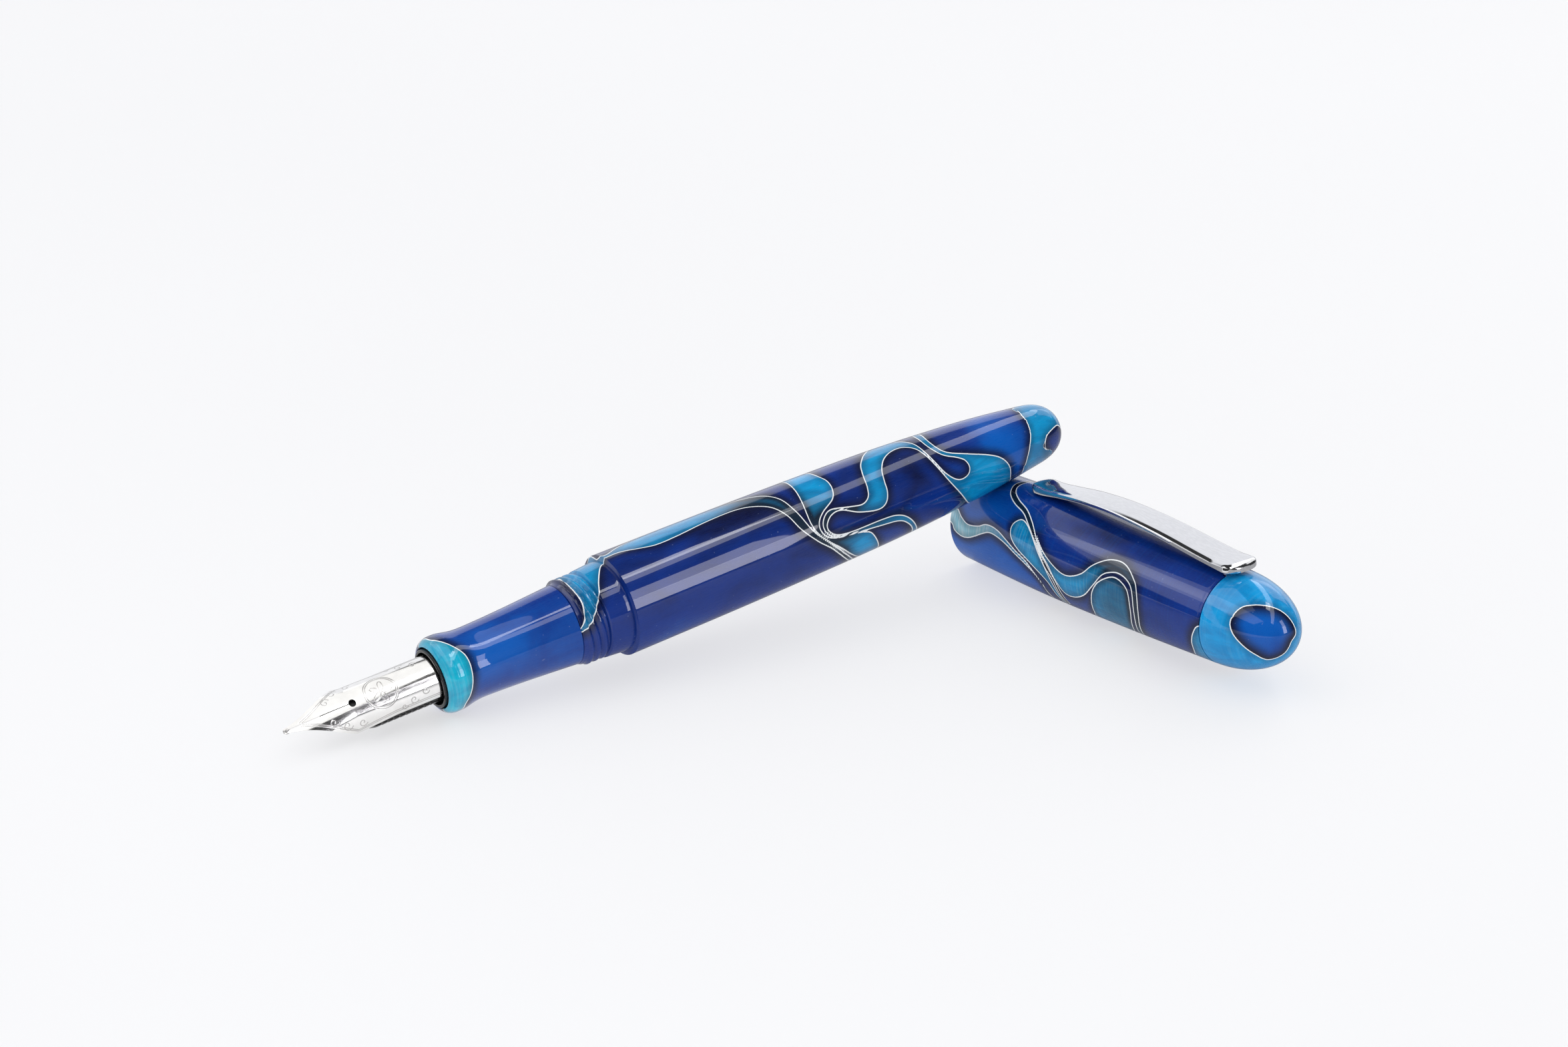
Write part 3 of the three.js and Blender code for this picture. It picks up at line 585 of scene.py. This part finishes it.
def barrel():
    front = [(BARREL_FRONT, 5.55), (BARREL_FRONT + 0.12, 5.72), (THREAD_START - 0.1, 5.78)]
    threads = spaced([(THREAD_START, THREAD_ROOT), (THREAD_END, THREAD_ROOT)], 0.08)
    t0, t1, r0, r1 = PLAIN_TENON
    plain = [(t0, r0 - 0.1), (t0 + 0.12, r0), (t1, r1), (STEP_X - 0.25, r1 - 0.02),
             (STEP_X - 0.22, STEP_FACE - 0.2), (STEP_X - 0.08, STEP_FACE + 0.1)]
    wall = spaced(catmull(BARREL_BODY, 30), GRID)
    nose = dome(*BARREL_NOSE, steps=34)
    outer = np.concatenate([front, threads, spaced(plain, GRID), wall, nose])
    inner = [(BARREL_FRONT, SOCKET_RADIUS), (SOCKET_END, SOCKET_RADIUS), (SOCKET_END, ROOM_RADIUS),
             (ROOM_END, ROOM_RADIUS), (ROOM_TIP, 0)]
    surface = Turned(outer, ROUND, barrel_relief)
    surface.join(Turned([outer[0], *inner], ROUND))
    piece = new_object("barrel", surface.verts, surface.faces, PEN, "barrel", BARREL_ACRYLIC)
    cyan = [Patch(points) for points in (FRONT_BAND, MIDDLE_RIBBON, REAR_RIBBON, REAR_DROP)]
    cyan += [Patch(END_CAP, True), Patch(END_DROP, True)]
    tones = [(92, 60, 7, 120, 0.95), (84, 20, 6, 30, 0.35), (42, 90, 12, 50, 0.36), (48, 20, 6, 30, 0.1),
             (76, 40, 4, 35, 0.15), (68, 125, 8, 30, 0.62), (83, 78, 3, 30, 0.6), (66, -10, 5, 40, 0.35),
             (23, 110, 4, 60, 0.5), (36, 140, 9, 30, 0.6)]
    glows = [(52, 0, 5, 40, 0.12), (57, 60, 4, 60, 0.0), (63, 120, 3, 30, 0.05), (61, 76, 3, 18, 0.05),
             (64, 62, 2.5, 12, 0.1), (66, 88, 4, 9, 0.05), (66, 112, 3, 25, 1.0), (80, 40, 1.2, 40, 0.55),
             (88, 100, 6, 60, 1.0), (61, 0, 4, 40, 1.0)]
    paint(piece, surface, radius_table(outer[:-1]), cyan, (), tones, 0.33, glows, 0.85)


def slot_relief(x, angle, radius):
    """The slot for the clip's tab in the cap's finial end."""
    turn = (angle - CLIP_ROLL + math.pi) % (2 * math.pi) - math.pi
    if x > TAB_SLOT_X and radius > TAB_SLOT_RADIUS and abs(turn) < TAB_SLOT_HALF_ANGLE:
        return TAB_SLOT_RADIUS
    return radius


def cap_body():
    rim = [(0, CAP_MOUTH_BORE + 0.08), (0, CAP_RIM - 0.03), (0.06, CAP_RIM + 0.07)]
    slot_edge = [(53.69, 6.76), (53.71, 6.76)]
    outer = np.array(sorted([*map(tuple, spaced(catmull(CAP_BODY, 30), GRID)), *slot_edge]))
    low, high, minor, major = CAP_THREAD
    grooves = []
    for i in range(4):
        x = high - 0.5 - i * THREAD_PITCH
        grooves += [(x, minor), (x - 0.3, major), (x - 0.55, major), (x - 0.85, minor)]
    inner = [(CAP_LENGTH, 5.8), (CAP_LENGTH - 0.8, 5.8), (CAP_LENGTH - 0.8, 3.2), (CAP_BORE_END, 3.2),
             (CAP_BORE_END, CAP_BORE), (high, CAP_BORE), (high - 0.2, minor), *grooves, (low, minor),
             (low - 0.05, CAP_MOUTH_BORE), (0.1, CAP_MOUTH_BORE)]
    profile = [*rim, *outer, *inner]
    piece, surface = turned_piece("cap_body", profile, CAP, "cap", CAP_ACRYLIC, ROUND, slot_relief)
    cyan = [Patch(points) for points in (CAP_MEANDER, CAP_DROP, CAP_WAVE, CAP_LOBE, CAP_SEAM_LOOP)]
    tones = [(4, 60, 8, 180, 0.95), (16, 20, 5, 30, 0.6), (22, 40, 8, 35, 0.32), (34, 30, 9, 40, 0.2),
             (46, 70, 6, 60, 0.3), (28, 130, 5, 30, 0.45), (12, 120, 8, 40, 0.9)]
    glows = [(22, 75, 2, 15, 0.15), (27.5, 104, 3.5, 18, 0.9), (36, 60, 4, 16, 0.1), (41.5, 95, 3, 40, 0.1),
             (37, 110, 4.5, 40, 0.32), (9, 80, 12, 25, 1.0), (18, 75, 5, 25, 0.9)]
    paint(piece, surface, radius_table(outer), cyan, [Patch(CAP_DARK)], tones, 0.4, glows, 0.75)


def cap_finial():
    crown = [(FINIAL_BASE, 6.6), (FINIAL_BASE + 0.05, 6.7)]
    outer = spaced(np.concatenate([crown, dome(*FINIAL_DOME, steps=46)]), 0.35)
    tenon = [(51.7, 0), (51.7, 2.75), (51.9, FINIAL_TENON), (FINIAL_BASE, FINIAL_TENON)]
    piece, surface = turned_piece("cap_finial", [*tenon, *outer], CAP, "finial", FINIAL_ACRYLIC, ROUND)
    radius_at = radius_table(outer[:-1])
    paint(piece, surface, radius_at, [Patch(FINIAL_DROP, True)], (), [(62, 40, 3, 60, 0.85)], 0.55, [], 1.0)
    # The finial is cyan outside its patch, so the distance changes sign
    layer = piece.data.attributes["cyan_edge"]
    values = np.empty(len(surface.verts), np.float32)
    layer.data.foreach_get("value", values)
    layer.data.foreach_set("value", -values)


# ---- Nib unit -------------------------------------------------------------------------------------

TIP, SHOULDER, SHOWN_ROOT, ROOT, SHEET = -22.35, -12.7, 0.2, 2, 0.3
BREATHER_X, BREATHER_RADIUS, BREATHER_SIDES, SLIT_WIDTH = -12.6, 0.52, 40, 0.12
NIB_COLUMNS, NIB_ROW = 110, 0.08
EMBLEM_X = -8.4


def lerp(a, b, t):
    return a + (b - a) * t


def nib_half_width(x):
    if x > SHOULDER:
        back = (x - SHOULDER) / (ROOT - SHOULDER)
        return lerp(4.75, 4.05, min(1, back * 2.6) ** 0.8)
    along = max(0, (x - TIP) / (SHOULDER - TIP))
    return lerp(0.34, 4.75, along**1.5)


def nib_curve(x):
    """Bend radius of the sheet and height of its crest at x."""
    forward = min(1, max(0, (SHOULDER - x) / (SHOULDER - TIP)))
    return lerp(3.35, 5.5, forward), 3.35 - 0.42 * forward**2


def nib_point(x, arc, height=0.0):
    bend, crest = nib_curve(x)
    angle = arc / bend
    return (x, (bend + height) * math.sin(angle), crest - bend + (bend + height) * math.cos(angle))


def engraved_curves():
    """The nib's ornament as (x, arc) polylines: a double ring, leaf scrolls and doubled border lines."""
    lines = []
    turn = np.linspace(0, 2 * math.pi, 90)
    for radius in (2.35, 2.1):
        lines.append(np.stack([EMBLEM_X + radius * np.cos(turn), radius * np.sin(turn)], 1))
    for k in range(5):
        lean = 2 * math.pi * k / 5
        petal = 0.85 + 0.7 * np.cos(turn)
        leaf_x = EMBLEM_X + petal * math.cos(lean) - 0.32 * np.sin(turn) * math.sin(lean)
        lines.append(np.stack([leaf_x, petal * math.sin(lean) + 0.32 * np.sin(turn) * math.cos(lean)], 1))
    for side in (-1, 1):
        for inset in (0.55, 0.8):
            xs = np.linspace(TIP + 2.2, -0.4, 120)
            reach = np.array([nib_half_width(x) - inset for x in xs])
            lines.append(np.stack([xs, side * np.maximum(reach, 0.12)], 1)[reach > 0.12])
        for cx, cy, size in ((-15.8, 1.5, 0.75), (-14.2, 2.6, 0.8), (-12.0, 3.0, 0.7), (-4.4, 2.7, 0.7),
                             (-2.6, 2.1, 0.6), (-5.9, 3.2, 0.5)):
            spin = np.linspace(0.4, 4.6 * math.pi / 2, 60)
            size_along = size * (1 - 0.12 * spin)
            curl = [cx + size_along * np.cos(spin), side * (cy + size_along * np.sin(spin))]
            lines.append(np.stack(curl, 1))
    return lines


def cut_by(piece_mesh, cutters):
    """The mesh with each closed cutter mesh taken away."""
    target = bpy.data.objects.new("target", piece_mesh)
    bpy.context.scene.collection.objects.link(target)
    helpers = []
    for i, mesh in enumerate(cutters):
        cutter = bpy.data.objects.new(f"cutter_{i}", mesh)
        bpy.context.scene.collection.objects.link(cutter)
        helpers.append(cutter)
        step = target.modifiers.new(f"cut_{i}", "BOOLEAN")
        step.operation, step.solver, step.object = "DIFFERENCE", "EXACT", cutter
    bpy.context.view_layer.update()
    made = bpy.data.meshes.new_from_object(target.evaluated_get(bpy.context.evaluated_depsgraph_get()))
    for helper in (target, *helpers):
        bpy.data.objects.remove(helper)
    return made


def mesh_of(verts, faces):
    mesh = bpy.data.meshes.new("shape")
    mesh.from_pydata([tuple(v) for v in verts], [], [tuple(f) for f in faces])
    return mesh


def box_shape(low, high):
    corners = [(x, y, z) for x in (low[0], high[0]) for y in (low[1], high[1]) for z in (low[2], high[2])]
    return corners, [(0, 1, 3, 2), (4, 6, 7, 5), (0, 4, 5, 1), (2, 3, 7, 6), (0, 2, 6, 4), (1, 5, 7, 3)]


def nib():
    columns = NIB_COLUMNS
    xs = np.concatenate([np.arange(TIP, SHOWN_ROOT, NIB_ROW), np.linspace(SHOWN_ROOT, ROOT, 8)])
    rows = len(xs)
    across = np.linspace(-1, 1, columns)
    verts = []
    for height in (0.0, -SHEET):
        for x in xs:
            half = nib_half_width(x)
            verts += [nib_point(x, half * u, height) for u in across]
    layer = rows * columns
    faces = []
    for i in range(rows - 1):
        for j in range(columns - 1):
            a = i * columns + j
            faces.append((a, a + columns, a + columns + 1, a + 1))
            faces.append(tuple(layer + k for k in (a, a + 1, a + columns + 1, a + columns)))
    for i in range(rows - 1):
        for j, flip in ((0, False), (columns - 1, True)):
            a = i * columns + j
            rim = (a, layer + a, layer + a + columns, a + columns)
            faces.append(rim[::-1] if flip else rim)
    for j in range(columns - 1):
        for i, flip in ((0, True), (rows - 1, False)):
            a = i * columns + j
            rim = (a, layer + a, layer + a + 1, a + 1)
            faces.append(rim[::-1] if flip else rim)
    slit = mesh_of(*box_shape((TIP - 1, -SLIT_WIDTH / 2, 1), (BREATHER_X, SLIT_WIDTH / 2, 5)))
    sides = BREATHER_SIDES
    turn = np.linspace(0, 2 * math.pi, sides, endpoint=False)
    ring = [(BREATHER_X + BREATHER_RADIUS * math.cos(a), BREATHER_RADIUS * math.sin(a)) for a in turn]
    hole_verts = [(x, y, z) for z in (1, 5) for x, y in ring]
    hole_faces = [tuple(range(sides - 1, -1, -1)), tuple(range(sides, 2 * sides))]
    hole_faces += [(i, (i + 1) % sides, sides + (i + 1) % sides, sides + i) for i in range(sides)]
    cut = cut_by(mesh_of(verts, faces), [slit, mesh_of(hole_verts, hole_faces)])
    local = np.array([v.co[:] for v in cut.vertices])
    piece = new_object("nib", local, [tuple(p.vertices) for p in cut.polygons], NIB_FRAME, "nib", STEEL, 40)
    marks = np.concatenate([spaced(line, 0.03) for line in engraved_curves()])
    tree = KDTree(len(marks))
    for count, (x, arc) in enumerate(marks):
        tree.insert((x, arc, 0), count)
    tree.balance()
    distances = []
    for x, y, z in local:
        bend, crest = nib_curve(x)
        arc = bend * math.atan2(y, z - crest + bend)
        on_top = math.hypot(y, z - crest + bend) > bend - SHEET / 3
        distances.append(tree.find((x, arc, 0))[2] if on_top else 1.0)
    add_field(piece, "engraving", distances)


def pellets():
    """Two half grains of hard alloy at the ends of the tines, parted by the slit."""
    for side, name in ((1, "nib_pellet_left"), (-1, "nib_pellet_right")):
        mesh = bmesh.new()
        bmesh.ops.create_uvsphere(mesh, u_segments=32, v_segments=20, radius=1)
        for vert in mesh.verts:
            x, y, z = vert.co
            vert.co = (TIP + 0.42 + 0.55 * x, 0.42 * y, 2.72 + 0.3 * max(z, -0.8))
        plane = dict(plane_co=(0, side * SLIT_WIDTH / 2, 0), plane_no=(0, -side, 0), clear_outer=True)
        bmesh.ops.bisect_plane(mesh, geom=[*mesh.verts, *mesh.edges, *mesh.faces], **plane)
        bmesh.ops.holes_fill(mesh, edges=[edge for edge in mesh.edges if edge.is_boundary])
        mesh.verts.index_update()
        local = [tuple(v.co) for v in mesh.verts]
        faces = [tuple(v.index for v in face.verts) for face in mesh.faces]
        new_object(name, local, faces, NIB_FRAME, "nib", PELLET, 50)
        mesh.free()


FEED_FRONT, FEED_SIDES = -16.8, 48
FIRST_FIN, FIN_PITCH, FIN_COUNT, FIN_FLOOR = -9.2, 0.9, 9, 2.35
FIN_STEPS = (0, 0.02, 0.4, 0.42)
BEAK_X, BEAK_Z, BEAK_SLOPE = -6.6, -2.9, math.tan(math.radians(24))
THINNEST = 0.05


def feed_reach(x):
    """The feed's radius: growing from its beak, then the round root and the thin tail."""
    if x > 13.61:
        return 0.8
    if x > 2.01:
        return 2.5
    return lerp(1.3, 3.2, min(1, (x - FEED_FRONT) / 7))


def feed():
    """Black feed under the nib: a rod with cooling fins, thinned to a beak towards the tip."""
    gaps = [FIRST_FIN + FIN_PITCH * k for k in range(FIN_COUNT)]
    xs = [*np.arange(FEED_FRONT, FIRST_FIN, 0.3)]
    for start in gaps:
        xs += [start + step for step in FIN_STEPS]
    xs += [*np.arange(xs[-1] + 0.3, 1.9, 0.4), 2.0, 2.02, 13.6, 13.62, 20]
    verts, rows = [], []
    for x in xs:
        in_gap = any(start + 0.01 < x < start + 0.41 for start in gaps)
        low = BEAK_Z + (BEAK_X - x) * BEAK_SLOPE
        bend, crest = nib_curve(x)
        rows.append([len(verts) + i for i in range(FEED_SIDES)])
        for i in range(FEED_SIDES):
            angle = 2 * math.pi * i / FEED_SIDES
            r = FIN_FLOOR if in_gap and math.cos(angle) < 0.35 else feed_reach(x)
            y, z = r * math.sin(angle), r * math.cos(angle)
            roof = crest - bend + math.sqrt(max((bend - SHEET - 0.08) ** 2 - y * y, 0))
            top = roof - THINNEST if low > roof - THINNEST else roof
            verts.append((x, y, min(max(min(z, roof), low), top)))
    faces = [tuple(rows[0][::-1]), tuple(rows[-1])]
    for a, b in zip(rows[:-1], rows[1:]):
        faces += [(a[i], a[(i + 1) % FEED_SIDES], b[(i + 1) % FEED_SIDES], b[i]) for i in range(FEED_SIDES)]
    new_object("feed", verts, faces, NIB_FRAME, "nib", BLACK, 30)


def nib_housing():
    crest, depth, pitch = 3.6, 0.12, 0.5
    thread = []
    for x in np.arange(3.1, 15, 0.1):
        thread.append((x, crest + depth * (0.5 + 0.5 * math.cos(2 * math.pi * x / pitch)) - depth))
    profile = [(-0.35, 3.78), (-0.35, 4.02), (-0.25, 4.12), (2.9, 4.12), (2.9, 3.5), *thread, (15.2, 3.4),
               (15.2, 1.75), (19.8, 1.75), (20.2, 1.55), (20.2, 0.95), (14, 0.95), (14, 2.62), (2.3, 2.62),
               (2.3, 3.72), (-0.3, 3.72)]
    turned_piece("nib_housing", profile, PEN, "nib_housing", BLACK, 96)


# ---- Converter and cap fittings -------------------------------------------------------------------

def ring_profile(x, width, inner, outer, steps=10):
    """Rounded section of a seal, from x over width, between two radii."""
    middle, reach = (inner + outer) / 2, (outer - inner) / 2
    turn = np.linspace(0, 2 * math.pi, steps * 2, endpoint=False)
    return [(x + width / 2 - width / 2 * math.cos(a), middle + reach * math.sin(a)) for a in turn]


RIBS, SPINDLE_PITCH, CUT_DEPTH = 18, 1.2, 0.14


def ribbed(x, angle, radius):
    """Grip ribs along the converter's knob."""
    if radius < 3.65 or not 67.5 < x < 83:
        return radius
    return radius - CUT_DEPTH * (0.5 + 0.5 * math.cos(RIBS * angle)) ** 2


def threaded(x, angle, radius):
    """Single-start thread along the spindle."""
    if radius < 0.9 or not 46 < x < 71:
        return radius
    return radius - CUT_DEPTH * (0.5 + 0.5 * math.cos(2 * math.pi * x / SPINDLE_PITCH - angle))


def converter():
    tube = [(16, 1.95), (16, 3.1), (16.2, 3.3), (56, 3.3), (56, 2.75), (21.4, 2.75), (20.6, 1.9), (16.1, 1.9)]
    turned_piece("converter_tube", tube, PEN, "converter", CLEAR)
    sleeve = [(54, 3.45), (54, 3.68), (54.1, 3.75), (65.9, 3.75), (66, 3.68), (66, 3.42), (54.1, 3.42)]
    turned_piece("converter_sleeve", sleeve, PEN, "converter", CHROME)
    bushing = [(62.2, 2.05), (62.2, 3.3), (65.8, 3.3), (65.8, 2.05)]
    turned_piece("converter_bushing", bushing, PEN, "converter", BLACK)
    grip = spaced([(67.6, 3.7), (83, 3.7)], 0.8)[1:]
    knob = [(72, 0), (72, 1.2), (66.3, 1.2), (66.3, 3.2), (67.2, 3.2), (67.4, 3.7), *grip, (83.6, 3.6),
            (84, 3.2), (84, 0)]
    turned_piece("converter_knob", knob, PEN, "knob", BLACK, 108, ribbed)
    shaft = spaced([(45.6, 0.8), (45.8, 1), (71.4, 1)], 0.1)
    turned_piece("converter_spindle", [(45.6, 0), *shaft, (71.4, 0)], PEN, "knob", BLACK, 32, threaded)
    rod = [(26.4, 0), (26.4, 1.7), (26.6, 1.9), (46.8, 1.9), (47, 1.7), (47, 1.15), (27, 1.15), (27, 0)]
    turned_piece("piston_rod", rod, PEN, "piston", BLACK, 48)
    head = [(21.6, 0), (21.6, 1.9), (22.0, 2.35)]
    for start in (22.3, 24.7):
        head += [(start, 2.35), (start, 1.75), (start + 0.8, 1.75), (start + 0.8, 2.35)]
    head += [(26.2, 2.35), (26.2, 0)]
    turned_piece("piston_head", head, PEN, "piston", BLACK, 64)
    for name, start in (("piston_ring_front", 22.38), ("piston_ring_rear", 24.78)):
        ring = ring_profile(start, 0.64, 1.85, 2.62)
        turned_piece(name, ring, PEN, "piston", RUBBER, 64)


def clip_ring():
    ring = [(53.5, 3.3), (53.5, 5.5), (53.6, 5.6), (53.9, 5.6), (54.0, 5.5), (54.0, 3.3)]
    turned_piece("clip_ring", ring, CAP, "cap", CHROME, 96)


CLIP_TIP, CLIP_END, CLIP_TIP_HALF, CLIP_END_HALF = 12.3, 56.2, 2.05, 3.05
CLIP_UNDERSIDE = [(12.3, 7.62), (15.5, 7.72), (19.5, 8.35), (25, 8.95), (32, 9.15), (40, 8.75), (49, 7.85),
                  (56.2, 7.25)]
CLIP_TAB = ((53.8, -1.8, 5.95), (54.3, 1.8, 7.6))


def clip_thickness(x):
    """The blade's thickness, fuller at its free end and again at the finial."""
    nose = max(0, 1 - (x - CLIP_TIP) / 8) ** 1.5
    heel = max(0, 1 - (CLIP_END - x) / 4)
    return 0.75 + 0.6 * nose + 0.4 * heel


def clip():
    """The arched blade, as cross-sections along the cap, and its tab."""
    tip_half, end_half, tail = CLIP_TIP_HALF, CLIP_END_HALF, 0.6 * CLIP_END_HALF
    line = catmull(CLIP_UNDERSIDE, 30)
    ends = 1 - np.cos(np.linspace(0.05, math.pi / 2, 16))
    middle = np.linspace(CLIP_TIP + tip_half, CLIP_END - end_half, 90)[1:-1]
    xs = np.concatenate([CLIP_TIP + tip_half * ends, middle, CLIP_END - tail * ends[::-1]])
    xs = np.unique(np.round(xs, 4))
    verts, rows = [], []
    for x in xs:
        along = (x - CLIP_TIP) / (CLIP_END - CLIP_TIP)
        d = min((x - CLIP_TIP) / tip_half, (CLIP_END - x) / tail, 1)
        half = lerp(tip_half, end_half, along**0.7) * max(0.3, (1 - (1 - d) ** 2.4) ** 0.42)
        floor = float(np.interp(x, line[:, 0], line[:, 1]))
        outline = [(-half + 0.06, floor), (half - 0.06, floor), (half, floor + 0.06)]
        for v in 0.985 * np.cos(np.linspace(0, math.pi, 14)):
            lift = clip_thickness(x) + 0.08 * (1 - v * v) - 0.3 * abs(v) ** 14 - 0.5 * (1 - d) ** 2.5
            outline.append((half * v, floor + lift))
        outline.append((-half, floor + 0.06))
        rows.append([len(verts) + i for i in range(len(outline))])
        verts += [(x, y, z) for y, z in outline]
    count = len(rows[0])
    faces = [tuple(rows[0]), tuple(rows[-1][::-1])]
    for a, b in zip(rows[:-1], rows[1:]):
        faces += [(a[(i + 1) % count], a[i], b[i], b[(i + 1) % count]) for i in range(count)]
    tab_verts, tab_faces = box_shape(*CLIP_TAB)
    faces += [tuple(len(verts) + i for i in face) for face in tab_faces]
    verts += tab_verts
    new_object("clip", verts, faces, CLIP_FRAME, "clip", CHROME, 38)


# ---- Stage ----------------------------------------------------------------------------------------

FLOOR_GLOW, FLOOR_REFLECTED_SHADE = 0.61, 0.8  # and the share of the glow that reflections on the right leave out, a painted shade of the pen and cap on the floor
WALL_LIGHT, CEILING_LIGHT, CEILING_REFLECTED = 1.0, 0.7, 0.04
CAMERA_PLACE = Vector((-0.20572, -0.30355, 0.16293))
CAMERA_TURN, CAMERA_RISE, LENS = math.radians(-33.795), math.radians(20.383), 68.97


def floor():
    mesh = mesh_of([(-6, -6, 0), (6, -6, 0), (6, 6, 0), (-6, 6, 0)], [(0, 1, 2, 3)])
    s = Shader("studio floor")
    grain = s.node("TexNoise")
    grain.inputs["Scale"].default_value = 40
    s.set(Base_Color=s.mix(s.fade(grain.outputs["Fac"], 0.3, 0.7), (0.29, 0.29, 0.293), (0.31, 0.31, 0.313)))
    s.set(Roughness=s.fade(grain.outputs["Fac"], 0.3, 0.7, 0.6, 0.7), Emission_Color=(0.99, 0.99, 1.0, 1))
    # Painted shade: glossy rays see the floor's glow dimmed from x = -0.04 m rightwards, in place of the
    # shade that the pen and cap cast on the floor near them
    place = s.node("SeparateXYZ")
    s.feed(place.inputs[0], s.node("NewGeometry").outputs["Position"])
    reflected_shade = s.fade(place.outputs["X"], -0.04, -0.01, 0.0, FLOOR_GLOW * FLOOR_REFLECTED_SHADE)
    mirrored = s.math("MULTIPLY", s.node("LightPath").outputs["Is Glossy Ray"], reflected_shade)
    s.set(Emission_Strength=s.math("SUBTRACT", FLOOR_GLOW, mirrored))
    mesh.materials.append(s.material)
    ground = bpy.data.objects.new("floor", mesh)
    bpy.context.scene.collection.objects.link(ground)


def softbox(name, place, aim, width, height, power, colour=(1, 1, 1), card=False):
    """An area light facing aim. A card is seen in reflections and lights nothing else."""
    lamp = bpy.data.lights.new(name, "AREA")
    lamp.shape, lamp.size, lamp.size_y, lamp.energy, lamp.color = "RECTANGLE", width, height, power, colour
    box = bpy.data.objects.new(name, lamp)
    box.location = place
    box.visible_diffuse, box.visible_transmission = not card, not card
    box.visible_camera = False
    box.rotation_euler = (Vector(aim) - Vector(place)).to_track_quat("-Z", "Y").to_euler()
    bpy.context.scene.collection.objects.link(box)


def studio():
    floor()
    middle = (0, 0, 0.01)
    softbox("strip box", (0.3, -0.2, 0.8), middle, 1.9, 0.14, 2.2)
    softbox("strip card", (0.18, -0.2, 0.78), middle, 0.27, 0.1, 0.5, card=True)
    for name, height, width, power in (("low", 0.32, 0.29, 2.5), ("high", 0.8, 0.27, 1.4)):
        place = (0.52, -1.2, height)
        softbox(f"{name} front card", place, middle, width, 0.46, power, (0.95, 0.94, 1.0), card=True)
    low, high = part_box("nib")
    nib_card = (Vector(low) + Vector(high)) / 2 + Vector((-0.012, 0.0, 0.1))
    softbox("nib card", nib_card, nib_card - Vector((0, 0, 1)), 0.096, 0.27, 0.085, card=True)
    softbox("broad box", (-0.75, 0.45, 1.15), middle, 1.3, 1.3, 4.5)
    softbox("right box", (1.3, 0.5, 0.9), (0.3, 0.5, 0), 0.8, 0.8, 2)
    air()
    bpy.context.scene.view_settings.view_transform = "Standard"


def air():
    """World light: bright walls up to an edge, and a ceiling that is darker in reflections than as light."""
    world = bpy.data.worlds.new("studio air")
    world.use_nodes = True
    s = Nodes(world.node_tree)
    way = s.node("SeparateXYZ")
    s.feed(way.inputs[0], s.node("TexCoord").outputs["Generated"])
    behind = s.fade(way.outputs["Y"], 0.0, 0.75, -0.6, 0.6, shape="LINEAR")
    right = s.fade(way.outputs["X"], 0.4, 0.6, 0.0, 0.35, shape="LINEAR")
    over_edge = s.math("SUBTRACT", way.outputs["Z"], s.math("ADD", behind, right))
    mirrored = s.node("LightPath").outputs["Is Glossy Ray"]
    ceiling = s.fade(mirrored, 0.0, 1.0, CEILING_LIGHT, CEILING_REFLECTED, shape="LINEAR")
    glow = s.tree.nodes["Background"]
    glow.inputs["Color"].default_value = (0.95, 0.96, 1.0, 1)
    s.feed(glow.inputs["Strength"], s.fade(over_edge, 0.05, 0.22, WALL_LIGHT, ceiling))
    bpy.context.scene.world = world


def camera():
    flat = math.cos(CAMERA_RISE)
    back = Vector((math.sin(CAMERA_TURN) * flat, -math.cos(CAMERA_TURN) * flat, math.sin(CAMERA_RISE)))
    data = bpy.data.cameras.new("camera")
    data.lens, data.sensor_width, data.clip_start = LENS, 36, 0.01
    eye = bpy.data.objects.new("camera", data)
    eye.location = CAMERA_PLACE
    eye.rotation_euler = (-back).to_track_quat("-Z", "Y").to_euler()
    bpy.context.scene.collection.objects.link(eye)
    bpy.context.scene.camera = eye


section()
barrel()
cap_body()
cap_finial()
nib()
pellets()
feed()
nib_housing()
converter()
clip_ring()
clip()
studio()
camera()
